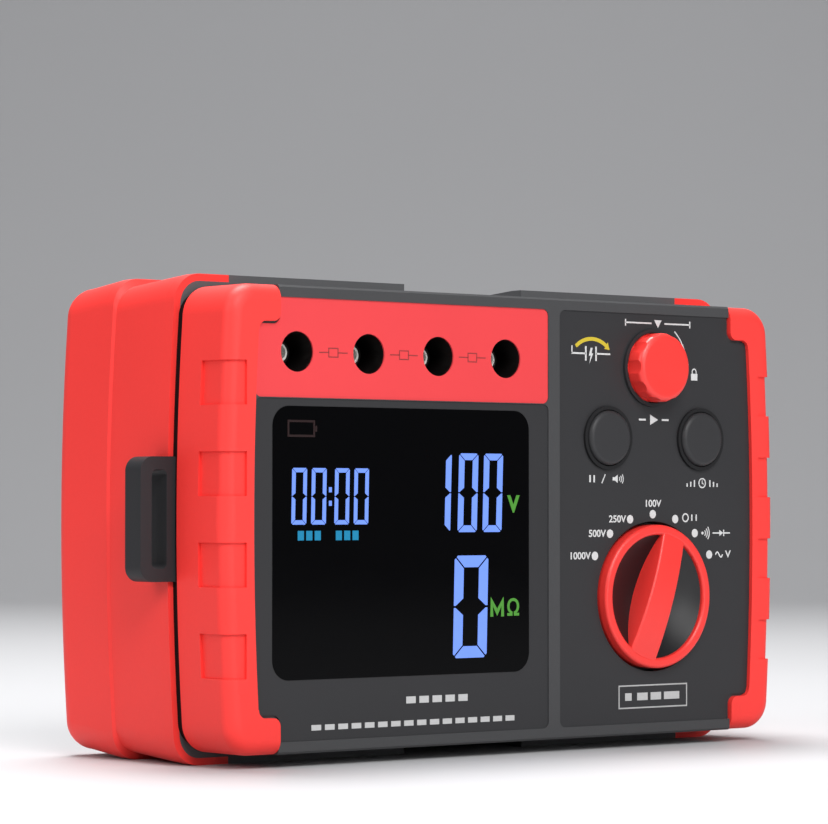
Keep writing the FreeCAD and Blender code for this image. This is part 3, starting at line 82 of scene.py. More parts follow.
def length(name, text, default):
    return FloatProperty(name=name, description=text, subtype="DISTANCE", unit="LENGTH", default=default)


class TesterColours(PropertyGroup):
    """Colours of the tester's finishes, in linear light."""
    bumper: colour("Bumper", "Soft moulded bumpers", (0.82, 0.036, 0.030))
    knob: colour("Knobs", "Selector and test knob", (0.78, 0.034, 0.028))
    jack_plate: colour("Jack plate", "Printed film around the jacks", (0.68, 0.050, 0.056))
    # Set light to match the lit top of the case (painted light); the front shell takes 0.58 of it as painted
    # shade.
    case: colour("Case", "Hard case halves", (0.085, 0.086, 0.090))
    film: colour("Panels", "Display bezel and control panel", (0.026, 0.026, 0.028))
    rubber: colour("Black parts", "Lugs, collar, seam and door seal", (0.010, 0.010, 0.011))
    key: colour("Keys", "Round keys", (0.026, 0.026, 0.028))
    ink: colour("Print", "Marks on the panels", (0.58, 0.58, 0.58))
    ink_yellow: colour("Yellow print", "Discharge mark", (0.55, 0.42, 0.02))
    digits: colour("Digits", "Lit digits", (0.15, 0.28, 0.86))
    digits_cyan: colour("Cyan marks", "Lit marks under the clock", (0.0, 0.19, 0.36))
    digits_green: colour("Green marks", "Lit unit signs", (0.06, 0.25, 0.025))
    floor: colour("Floor", "Studio floor", (0.50, 0.50, 0.51))


class TesterSizes(PropertyGroup):
    """Sizes of the marks and of the studio."""
    dot: length("Dial dot", "Radius of the dots around the selector", 1.25 * MM)
    dial_wide: length("Dial width", "Half width of the dots' oval", 26.6 * MM)
    dial_tall: length("Dial height", "Half height of the dots' oval", 24.2 * MM)
    ink: length("Ink", "Height of the printed marks above their panel", 0.04 * MM)
    letter: length("Figures", "Height of the dial's figures", 2.0 * MM)
    reach: length("Studio", "Half width of the studio floor", 2.4)


def colours():
    return bpy.context.scene.tester_colours


def sizes():
    return bpy.context.scene.tester_sizes


# ---------------------------------------------------------------- shader sums

class Field:
    """A value in a shader: arithmetic on it adds Math nodes."""

    def __init__(self, finish, socket):
        self.finish = finish
        self.socket = socket

    def sum(self, operation, first, second):
        return self.finish.node("ShaderNodeMath", {"operation": operation}, {0: first, 1: second})

    def __add__(self, other):
        return self.sum("ADD", self, other)

    def __mul__(self, other):
        return self.sum("MULTIPLY", self, other)

    __radd__ = __add__
    __rmul__ = __mul__


class Finish:
    """A material with one Principled shader, and the nodes that feed it."""

    def __init__(self, name):
        self.material = bpy.data.materials.new(name)
        self.material.use_nodes = True
        self.tree = self.material.node_tree
        self.shader = self.tree.nodes["Principled BSDF"]
        self.place = self.node("ShaderNodeTexCoord", out="Object")

    def node(self, kind, settings=None, inputs=None, out=0):
        """Adds a node, sets it up, links or sets its inputs and returns one output."""
        item = self.tree.nodes.new(kind)
        for key, setting in (settings or {}).items():
            setattr(item, key, setting)
        for key, given in (inputs or {}).items():
            self.feed(item.inputs[key], given)
        return Field(self, item.outputs[out])

    def feed(self, socket, given):
        if isinstance(given, Field):
            self.tree.links.new(given.socket, socket)
        else:
            socket.default_value = given

    def noise(self, scale, detail=3.0, stretch=None):
        """Cloudy noise; scale is in cells per metre, and stretch squeezes it along an axis."""
        place = self.place
        if stretch:
            place = self.node("ShaderNodeMapping", {}, {"Vector": place, "Scale": stretch})
        return self.node("ShaderNodeTexNoise", {},
                         {"Vector": place, "Scale": scale, "Detail": detail, "Roughness": 0.55})

    def grain(self, scale):
        """Small rounded cells, as on a spark-eroded mould."""
        return self.node("ShaderNodeTexVoronoi", {"feature": "SMOOTH_F1"},
                         {"Vector": self.place, "Scale": scale, "Smoothness": 0.6})

    def shade(self, factor, dark, light):
        """A colour between two shades; the Mix node's colours are its inputs 6 and 7."""
        return self.node("ShaderNodeMix", {"data_type": "RGBA"},
                         {0: factor, 6: (*dark, 1), 7: (*light, 1)}, out=2)

    def relief(self, height, strength, depth):
        return self.node("ShaderNodeBump", {}, {"Height": height, "Strength": strength, "Distance": depth})

    def set(self, **sockets):
        for key, given in sockets.items():
            self.feed(self.shader.inputs[key.replace("_", " ")], given)
        return self.material


def tinted(shade, amount):
    return tuple(min(1.0, part * amount) for part in shade)


def around(middle, spread, field):
    """A roughness that wanders with a field, by half its spread to either side."""
    return field * spread + (middle - spread / 2)


def moulded(name, shade, rough, grain, depth, gloss=0.3):
    """Moulded plastic or rubber: a fine eroded grain, faint flow marks and handling shine."""
    finish = Finish(name)
    flow = finish.noise(scale=18.0, detail=2.0)
    cells = finish.grain(grain)
    speck = finish.noise(scale=grain * 0.35, detail=4.0)
    main, rest = 0.7, 0.3
    return finish.set(
        Base_Color=finish.shade(flow * main + speck * rest, tinted(shade, 0.90), tinted(shade, 1.08)),
        Roughness=around(rough, 0.10, flow),
        Specular_IOR_Level=gloss,
        Normal=finish.relief(cells * main + speck * rest, strength=0.35, depth=depth),
    )


def film(name, shade, rough=0.42):
    """Printed polyester film: a fine satin grain under a thin clear face."""
    finish = Finish(name)
    satin = finish.noise(scale=2600.0, detail=2.0)
    cloud = finish.noise(scale=25.0, detail=2.0)
    return finish.set(
        Base_Color=finish.shade(cloud, tinted(shade, 0.94), tinted(shade, 1.05)),
        Roughness=around(rough, 0.10, satin),
        Specular_IOR_Level=0.25,
        Normal=finish.relief(satin, strength=0.12, depth=0.03 * MM),
    )


def polished(name, shade, rough, coat=0.0, gloss=0.5):
    """Smooth moulded plastic with faint fingerprints."""
    finish = Finish(name)
    smear = finish.noise(scale=55.0, detail=4.0, stretch=(1.0, 1.0, 2.2))
    return finish.set(
        Base_Color=finish.shade(smear, tinted(shade, 0.95), tinted(shade, 1.04)),
        Roughness=around(rough, 0.10, smear),
        Coat_Weight=coat,
        Coat_Roughness=0.08,
        Specular_IOR_Level=gloss,
        Normal=finish.relief(finish.noise(scale=700.0), strength=0.05, depth=0.02 * MM),
    )


def metal(name, shade, rough):
    """Plated or turned metal."""
    finish = Finish(name)
    streak = finish.noise(scale=900.0, stretch=(1.0, 0.06, 1.0))
    return finish.set(
        Base_Color=finish.shade(streak, tinted(shade, 0.85), shade),
        Metallic=1.0,
        Roughness=around(rough, 0.18, streak),
        Normal=finish.relief(streak, strength=0.1, depth=0.02 * MM),
    )


def printed(name, shade):
    """Screen-printed ink, slightly uneven."""
    finish = Finish(name)
    mottle = finish.noise(scale=1800.0, detail=2.0)
    return finish.set(
        Base_Color=finish.shade(mottle, tinted(shade, 0.88), shade),
        Roughness=around(0.55, 0.10, mottle),
    )


def lit(name, shade, power=1.0):
    """A lit segment of the display, a little brighter in its middle."""
    finish = Finish(name)
    glow = finish.noise(scale=260.0, detail=1.0)
    return finish.set(
        Base_Color=finish.shade(glow, tinted(shade, 0.25), tinted(shade, 0.3)),
        Roughness=0.3,
        Emission_Color=finish.shade(glow, tinted(shade, 0.92), shade),
        Emission_Strength=power,
    )


def paint(material, *names):
    """Gives carried-over CAD nodes a finish."""
    for name in names:
        mesh = frame["nodes"][name].data
        mesh.materials.clear()
        mesh.materials.append(material)


# ---------------------------------------------------------------- mesh helpers

CIRCLE_STEPS = 32
ARC_STEPS = 24
MITRE_LIMIT = 0.4        # a line's corner reaches out by 1 / 0.4 of its half width at most


def slab(bm, spots, y, thick):
    """A flat shape with a thickness towards the viewer; spots are (x, z) in order."""
    face = bm.faces.new([bm.verts.new((x, y, z)) for x, z in spots])
    pushed = bmesh.ops.extrude_face_region(bm, geom=[face])
    verts = [item for item in pushed["geom"] if isinstance(item, bmesh.types.BMVert)]
    bmesh.ops.translate(bm, verts=verts, vec=(0, -thick, 0))


def round_spots(x, z, radius):
    turns = [2 * math.pi * step / CIRCLE_STEPS for step in range(CIRCLE_STEPS)]
    return [(x + radius * math.cos(turn), z + radius * math.sin(turn)) for turn in turns]


def arc_spot(x, z, radius, turn):
    """A point on a circle; turn is clockwise from the top, in degrees."""
    return x + radius * math.sin(math.radians(turn)), z + radius * math.cos(math.radians(turn))


def arc_spots(x, z, radius, start, end, count=ARC_STEPS):
    """Points along an arc, from one turn to another."""
    return [arc_spot(x, z, radius, start + (end - start) * step / count) for step in range(count + 1)]


def line(bm, spots, width, y, thick, closed=False):
    """A printed line of even width with mitred corners."""
    points = [Vector(spot) for spot in spots]
    count = len(points)
    left, right = [], []
    for i, point in enumerate(points):
        ways = []
        if i > 0 or closed:
            ways.append((point - points[i - 1]).normalized())
        if i < count - 1 or closed:
            ways.append((points[(i + 1) % count] - point).normalized())
        way = sum(ways, Vector((0, 0))).normalized()
        across = Vector((-way.y, way.x))
        mitre = abs(across.dot(Vector((-ways[0].y, ways[0].x))))
        reach = width / 2 / max(MITRE_LIMIT, mitre)
        left.append(point + across * reach)
        right.append(point - across * reach)
    for i in range(count if closed else count - 1):
        j = (i + 1) % count
        slab(bm, [tuple(left[i]), tuple(left[j]), tuple(right[j]), tuple(right[i])], y, thick)


class Sheet:
    """Collects printed marks on one panel, given in millimetres from the panel frame's middle."""

    CAPITAL = 0.70       # a capital's height as a share of the font's size

    def __init__(self, name, node, material):
        self.name = name
        self.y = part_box(node)[0].y
        self.thick = sizes().ink
        self.material = material
        self.bm = bmesh.new()

    def at(self, spots):
        return [(PANEL_MIDDLE.x + x * MM, PANEL_MIDDLE.y + z * MM) for x, z in spots]

    def line(self, spots, width, closed=False):
        line(self.bm, self.at(spots), width * MM, self.y, self.thick, closed)

    def level(self, left, right, z, width):
        self.line([(left, z), (right, z)], width)

    def upright(self, x, low, high, width):
        self.line([(x, low), (x, high)], width)

    def ring(self, x, z, radius, width):
        self.line(arc_spots(x, z, radius, 0, 360)[:-1], width, closed=True)

    def border(self, left, right, low, high, width):
        self.line([(left, low), (right, low), (right, high), (left, high)], width, closed=True)

    def shape(self, spots, x=0.0, z=0.0):
        """A filled outline, moved to x and z."""
        slab(self.bm, self.at([(x + a, z + b) for a, b in spots]), self.y, self.thick)

    def block(self, left, right, low, high):
        self.shape([(left, low), (right, low), (right, high), (left, high)])

    def dot(self, x, z, radius):
        self.shape(round_spots(x, z, radius))

    def figures(self, text, x, z, tall, align="CENTER", bold=0.03, wide=1.25):
        """Plain figures in Blender's own font."""
        curve = bpy.data.curves.new(self.name + "_figures", "FONT")
        curve.body = text
        curve.align_x = align
        curve.align_y = "CENTER"
        curve.size = tall / self.CAPITAL * MM
        curve.offset = tall * bold * MM
        curve.extrude = self.thick / 2
        curve.resolution_u = 6
        carrier = bpy.data.objects.new(self.name + "_carrier", curve)
        mesh = bpy.data.meshes.new_from_object(carrier)
        spot = self.at([(x, z)])[0]
        mesh.transform(Matrix.Translation((spot[0], self.y - self.thick / 2, spot[1]))
                       @ Matrix.Rotation(math.radians(90), 4, "X") @ Matrix.Diagonal((wide, 1, 1, 1)))
        self.bm.from_mesh(mesh)
        bpy.data.objects.remove(carrier)
        bpy.data.curves.remove(curve)
        bpy.data.meshes.remove(mesh)

    def done(self):
        """Turns the marks into a finished piece that rides on the housing."""
        mesh = bpy.data.meshes.new(self.name)
        bmesh.ops.recalc_face_normals(self.bm, faces=self.bm.faces)
        self.bm.to_mesh(mesh)
        self.bm.free()
        mesh.materials.append(self.material)
        piece = bpy.data.objects.new(self.name, mesh)
        bpy.context.scene.collection.objects.link(piece)
        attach(piece, HOUSING)


# ---------------------------------------------------------------- studio

VIEW_TURN = math.radians(-39.26)
CAMERA_TILT = math.radians(91.55)
CAMERA_PLACE = (-0.6537, -0.79105, 0.0706)
CAMERA_LENS, CAMERA_SENSOR = 151.95, 36.0        # both in millimetres
CAMERA_FAR = 50.0
FLOOR_BEND = 0.35                                # radius of the backdrop's bend, as a share of the reach
BEND_STEPS = 16
SKY_SHADE, SKY_POWER = (0.86, 0.88, 0.92, 1), 0.22
LIGHTS = (
    # name, place in metres, disc's diameter in metres, power in watts
    ("key", (-0.5, -1.2, 1.2), 0.9, 23.0),
    ("side", (-1.4, -0.1, 0.8), 0.8, 7.5),
    ("fill", (0.2, -1.5, 0.5), 0.9, 7.0),
    ("top", (0.1, 0.35, 1.5), 0.8, 34.0),
)


class TESTER_OT_studio(Operator):
    """Camera, floor and soft lights"""
    bl_idname = "tester.studio"
    bl_label = "Studio"

    def execute(self, context):
        self.camera(context)
        self.floor(context)
        self.sky(context)
        self.lights(context)
        return {"FINISHED"}

    def camera(self, context):
        data = bpy.data.cameras.new("camera")
        data.lens = CAMERA_LENS
        data.sensor_width = CAMERA_SENSOR
        data.clip_end = CAMERA_FAR
        item = bpy.data.objects.new("camera", data)
        item.location = CAMERA_PLACE
        item.rotation_euler = (CAMERA_TILT, 0.0, VIEW_TURN)
        context.scene.collection.objects.link(item)
        context.scene.camera = item

    def floor(self, context):
        """A pale floor whose far edge bends up into a backdrop."""
        bm = bmesh.new()
        reach = sizes().reach
        bmesh.ops.create_grid(bm, x_segments=1, y_segments=1, size=reach)
        back = [edge for edge in bm.edges if all(vert.co.y > 0 for vert in edge.verts)]
        raised = bmesh.ops.extrude_edge_only(bm, edges=back)
        top = [item for item in raised["geom"] if isinstance(item, bmesh.types.BMVert)]
        bmesh.ops.translate(bm, verts=top, vec=(0, 0, reach))
        crease = [edge for edge in bm.edges if len(edge.link_faces) == 2]
        bmesh.ops.bevel(bm, geom=crease, offset=reach * FLOOR_BEND, segments=BEND_STEPS, profile=0.5,
                        affect="EDGES", material=-1)
        bmesh.ops.rotate(bm, verts=bm.verts, matrix=Matrix.Rotation(VIEW_TURN, 3, "Z"))
        mesh = bpy.data.meshes.new("floor")
        bm.to_mesh(mesh)
        bm.free()
        mesh.shade_smooth()
        finish = Finish("studio_floor")
        mottle = finish.noise(scale=3.0, detail=2.0)
        shade = tuple(colours().floor)
        mesh.materials.append(finish.set(
            Base_Color=finish.shade(mottle, tinted(shade, 0.97), shade),
            Roughness=around(0.575, 0.05, mottle),
        ))
        item = bpy.data.objects.new("floor", mesh)
        context.scene.collection.objects.link(item)
        item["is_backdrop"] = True

    def sky(self, context):
        world = bpy.data.worlds.new("studio")
        world.use_nodes = True
        background = world.node_tree.nodes["Background"]
        background.inputs["Color"].default_value = SKY_SHADE
        background.inputs["Strength"].default_value = SKY_POWER
        context.scene.world = world
        context.scene.view_settings.view_transform = "Standard"

    def lights(self, context):
        middle = (LOW + HIGH) / 2
        for name, spot, size, power in LIGHTS:
            data = bpy.data.lights.new(name, "AREA")
            data.shape = "DISK"
            data.size = size
            data.energy = power
            item = bpy.data.objects.new(name, data)
            item.location = spot
            item.rotation_euler = (middle - Vector(spot)).to_track_quat("-Z", "Y").to_euler()
            context.scene.collection.objects.link(item)


# ---------------------------------------------------------------- finishes of the carried-over nodes

STEEL = (0.55, 0.55, 0.57)
CAN_METAL = (0.7, 0.7, 0.72)
BRASS = (0.78, 0.62, 0.33)
PLATING = (0.86, 0.85, 0.80)
GLASS = (0.7, 0.74, 0.76)
WINDOW_BLACK = (0.0015, 0.0015, 0.0018)
INSERT_BLACK = (0.006, 0.006, 0.007)
JACK_BLACK = (0.005, 0.004, 0.004)
JACK_COUNT = 4
INSIDE = (
    # finish, shade, roughness, nodes
    ("board_mask", (0.012, 0.11, 0.035), 0.35, ("main_board", "power_board")),
    ("holder_plastic", (0.02, 0.02, 0.022), 0.5, ("lcd_frame", "selector_rotor", "test_guide")),
    ("switch_plastic", (0.015, 0.015, 0.016), 0.4,
     ("test_switch", "key_switches", "buzzer", "control_chips")),
    ("white_plastic", (0.62, 0.62, 0.60), 0.35, ("test_stem", "detent_ring", "backlight")),
    ("strip_rubber", (0.5, 0.46, 0.38), 0.5, ("zebra_strips",)),
    ("ribbon_sleeve", (0.28, 0.28, 0.30), 0.45, ("board_link",)),
    ("core_lacquer", (0.06, 0.06, 0.065), 0.4, ("hv_transformer",)),
    ("relay_plastic", (0.02, 0.07, 0.30), 0.3, ("relays",)),
    ("resistor_lacquer", (0.38, 0.28, 0.15), 0.45, ("discharge_resistors",)),
    ("cell_wrap", (0.03, 0.03, 0.034), 0.3, ("battery_cells",)),
)


class TESTER_OT_case(Operator):
    """Finish of the bumpers, the case halves and the seam"""
    bl_idname = "tester.case"
    bl_label = "Case"

    def execute(self, context):
        case, rubber = colours().case, colours().rubber
        paint(moulded("bumper_rubber", colours().bumper, rough=0.50, grain=2600.0, depth=0.06 * MM,
                      gloss=0.35), "front_bumper_left", "front_bumper_right", "rear_bumper_left",
              "rear_bumper_right")
        # Painted light: the rear shell, door and tray take the full case shade, set light to match the case's lit
        # top.
        paint(moulded("lit_case_plastic", case, rough=0.52, grain=2200.0, depth=0.08 * MM),
              "rear_shell", "battery_door", "battery_tray")
        # Painted shade: the front shell is the same plastic, darkened to 0.58 of the case shade to match its
        # shaded front faces.
        paint(moulded("shaded_front_plastic", tinted(case, 0.58), rough=0.5, grain=2200.0, depth=0.06 * MM,
                      gloss=0.25), "front_shell")
        paint(moulded("black_rubber", tinted(rubber, 0.4), rough=0.6, grain=1800.0, depth=0.05 * MM,
                      gloss=0.08), "seam_gasket", "door_seal")
        paint(moulded("lug_plastic", tinted(rubber, 2.2), rough=0.55, grain=2400.0, depth=0.06 * MM,
                      gloss=0.2), "strap_lug_left", "strap_lug_right", "test_collar")
        paint(metal("screw_steel", STEEL, rough=0.35), "case_screws", "door_screw_left",
              "door_screw_right", "board_screws", "test_spring", "detent_balls")
        return {"FINISHED"}


class TESTER_OT_panels(Operator):
    """Finish of the printed films and the display window"""
    bl_idname = "tester.panels"
    bl_label = "Panels"

    def execute(self, context):
        paint(film("jack_film", colours().jack_plate, rough=0.40), "jack_plate")
        paint(film("dark_film", colours().film), "display_bezel", "control_panel")
        paint(polished("window_face", WINDOW_BLACK, rough=0.08, gloss=0.06), "display_window")
        return {"FINISHED"}


class TESTER_OT_controls(Operator):
    """Finish of the selector, the test knob, the keys and the jacks"""
    bl_idname = "tester.controls"
    bl_label = "Controls"

    def execute(self, context):
        key = colours().key
        paint(polished("knob_plastic", colours().knob, rough=0.36), "selector_knob", "test_cap")
        paint(polished("insert_face", INSERT_BLACK, rough=0.34, gloss=0.4), "knob_insert")
        paint(moulded("key_rubber", key, rough=0.46, grain=3000.0, depth=0.03 * MM), "hold_key", "mode_key")
        # Painted shade: the key rings are darkened to half the keys' shade, standing in for the dark gap and
        # shadow around each key.
        paint(moulded("shaded_ring_plastic", tinted(key, 0.5), rough=0.5, grain=3000.0, depth=0.03 * MM, gloss=0.15),
              "key_rings")
        paint(polished("jack_plastic", JACK_BLACK, rough=0.4, gloss=0.15),
              *(f"jack_body_{number + 1}" for number in range(JACK_COUNT)))
        paint(polished("contact_plating", PLATING, rough=0.3, gloss=0.8), "jack_contacts")
        paint(metal("turned_brass", BRASS, rough=0.3),
              "case_inserts", "wiper_contacts", "board_spacers", "fuse_clips")
        return {"FINISHED"}


class TESTER_OT_inside(Operator):
    """Finish of everything inside the case"""
    bl_idname = "tester.inside"
    bl_label = "Inside"

    def execute(self, context):
        for name, shade, rough, nodes in INSIDE:
            paint(polished(name, shade, rough), *nodes)
        paint(metal("can_metal", CAN_METAL, rough=0.3), "hv_capacitors", "battery_contacts")
        paint(polished("tube_glass", GLASS, rough=0.1, coat=0.4), "fuse", "lcd_glass")
        return {"FINISHED"}


# ---------------------------------------------------------------- printed marks
# Places and sizes are in millimetres, and places are taken from the panel frame's middle.

# Widths of the printed lines
HAIR, FINE, THIN, PLAIN, FIRM, BOLD, BROAD, HEAVY = 0.30, 0.36, 0.40, 0.42, 0.45, 0.50, 0.55, 0.60

DIAL_TURNS = range(-60, 61, 20)                  # degrees clockwise from the top
SIDE_FIGURES, TOP_FIGURES = ("1000V", "500V", "250V"), "100V"
SIDE_GAP, TOP_GAP = 1.7, 3.1                     # from a dot's middle to its figures
FIGURE_WIDE = 1.12
OFF_PLACE, OFF_RADIUS, OFF_STROKES, OFF_HALF = (4.2, 0.4), 1.15, (2.6, 4.4), 0.95
TONE_PLACE, TONE_DOT, TONE_RINGS, TONE_ARC = (3.2, 0.0), 0.45, (1.2, 2.0, 2.8), (50, 130, 10)
DIODE_WIRES = ((4.2, 7.0), (9.0, 11.4))
DIODE_ARROW = ((7.0, -0.9), (8.6, 0), (7.0, 0.9))
DIODE_BAR, DIODE_HALF = 8.8, 0.95
WAVE_PLACE, WAVE_PITCH, WAVE_HIGH, WAVE_TURN, WAVE_STEPS = (2.6, 0.0), 0.2, 0.75, 24, 16
WAVE_FIGURE = 5.2


def joint_spot(name):
    """A joint's axis on the panel, in millimetres from the panel frame's middle."""
    place = next(item for item in frame["joints"] if item["name"] == name)["pos_m"]
    return (place[0] - PANEL_MIDDLE.x) / MM, (place[2] - PANEL_MIDDLE.y) / MM


def beside(spot, shift):
    return spot[0] + shift[0], spot[1] + shift[1]


class TESTER_OT_dial(Operator):
    """Dots, figures and signs around the selector"""
    bl_idname = "tester.dial"
    bl_label = "Dial"

    def execute(self, context):
        sheet = Sheet("dial_print", "control_panel", printed("panel_ink", colours().ink))
        x, z = joint_spot("selector_turn")
        wide, high = sizes().dial_wide / MM, sizes().dial_tall / MM
        spots = [(x + wide * math.sin(math.radians(turn)), z + high * math.cos(math.radians(turn)))
                 for turn in DIAL_TURNS]
        for spot in spots:
            sheet.dot(*spot, sizes().dot / MM)
        tall = sizes().letter / MM
        for (dot_x, dot_z), text in zip(spots, SIDE_FIGURES):
            sheet.figures(text, dot_x - SIDE_GAP, dot_z, tall, "RIGHT", wide=FIGURE_WIDE)
        top, off, tone, wave = spots[len(SIDE_FIGURES):]
        sheet.figures(TOP_FIGURES, top[0], top[1] + TOP_GAP, tall, wide=FIGURE_WIDE)
        self.off_sign(sheet, *beside(off, OFF_PLACE))
        self.tone_sign(sheet, *beside(tone, TONE_PLACE))
        self.wave_sign(sheet, *beside(wave, WAVE_PLACE), tall)
        sheet.done()
        return {"FINISHED"}

    def off_sign(self, sheet, x, z):
        """A ring and two strokes."""
        sheet.ring(x, z, OFF_RADIUS, PLAIN)
        for shift in OFF_STROKES:
            sheet.upright(x + shift, z - OFF_HALF, z + OFF_HALF, BOLD)

    def tone_sign(self, sheet, x, z):
        """A sounding dot, and a diode."""
        sheet.dot(x, z, TONE_DOT)
        for radius in TONE_RINGS:
            sheet.line(arc_spots(x, z, radius, *TONE_ARC), FINE)
        for start, end in DIODE_WIRES:
            sheet.level(x + start, x + end, z, THIN)
        sheet.shape(DIODE_ARROW, x, z)
        sheet.upright(x + DIODE_BAR, z - DIODE_HALF, z + DIODE_HALF, THIN)

    def wave_sign(self, sheet, x, z, tall):
        """An alternating voltage."""
        sheet.line([(x + step * WAVE_PITCH, z + WAVE_HIGH * math.sin(math.radians(step * WAVE_TURN)))
                    for step in range(WAVE_STEPS)], PLAIN)
        sheet.figures("V", x + WAVE_FIGURE, z, tall)


PRESS_PLACE, START_PLACE = (2.5, 13.2), (0.8, -15.3)     # from the test knob's axis
HOLD_PLACE, SPEAKER_PLACE, CLOCK_PLACE = (29.5, 11.5), (39.6, 11.5), (73.8, 10.4)
CAPACITOR_PLACE, ARROW_PLACE = (29.1, 47.9), (29.4, 42.6)
PRESS_FAR, PRESS_NEAR, PRESS_TICK = 13, 2.6, 1.0
PRESS_ARROW = ((-1.5, 1.0), (1.5, 1.0), (0, -1.3))
LOCK_RADIUS, LOCK_START, LOCK_BASE, LOCK_TIP = 14.4, 40, 84, 90
LOCK_HALF, LOCK_NOSE = 0.8, 0.1                  # the arrow head's half width, and how far its tip is moved
PADLOCK_PLACE = (17.3, -2.2)                     # from the test knob's axis
PADLOCK_HALF, PADLOCK_LOW, PADLOCK_HIGH = 1.3, -1.1, 0.9
SHACKLE_HALF, SHACKLE_MIDDLE = 0.8, 1.5
START_ARROW = ((-1.5, -1.5), (1.7, 0), (-1.5, 1.5))
START_NEAR, START_FAR = 3.2, 6.0
HOLD_SHIFT, HOLD_HALF = 0.8, 1.05
SLASH = ((3.8, -1.3), (5.2, 1.3))
SPEAKER_CONE = ((-2.0, -0.5), (-1.1, -0.5), (0, -1.2), (0, 1.2), (-1.1, 0.5), (-2.0, 0.5))
SPEAKER_RINGS, SPEAKER_ARC, SPEAKER_BACK = (0.9, 1.6, 2.3), (55, 125, 8), 0.1
CLOCK_RADIUS, CLOCK_HANDS = 1.35, ((0, 0.85), (0, 0), (0.6, -0.35))
CLOCK_BARS, BAR_START, BAR_PITCH, BAR_LOW, BAR_HIGH, BAR_DROP = 3, 3.2, 1.5, -1.1, 0.9, 0.5
WIRE_FAR, PLATE_SHIFT, PLATE_HALF = 7.6, 2.0, 2.1
LEG_PLACE, LEG_TALL = -7.4, 2.2
FLASH = ((-0.1, 1.7), (0.7, 1.7), (0.2, 0.1), (0.9, 0.1), (-0.6, -3.0), (-0.1, -0.6), (-0.8, -0.6))
ARROW_RADIUS, ARROW_START, ARROW_BASE, ARROW_TIP = 9.6, -40, 36, 47
ARROW_LINE, ARROW_HALF = 1.1, 1.2
FIELD = (40.0, 67.2, -55.6, -49.1)               # left, right, low, high
FIELD_DASHES, FIELD_DASH_TALL = ((42.4, 45.0), (47.2, 51.4), (52.6, 56.8), (58.0, 64.2)), 2.2


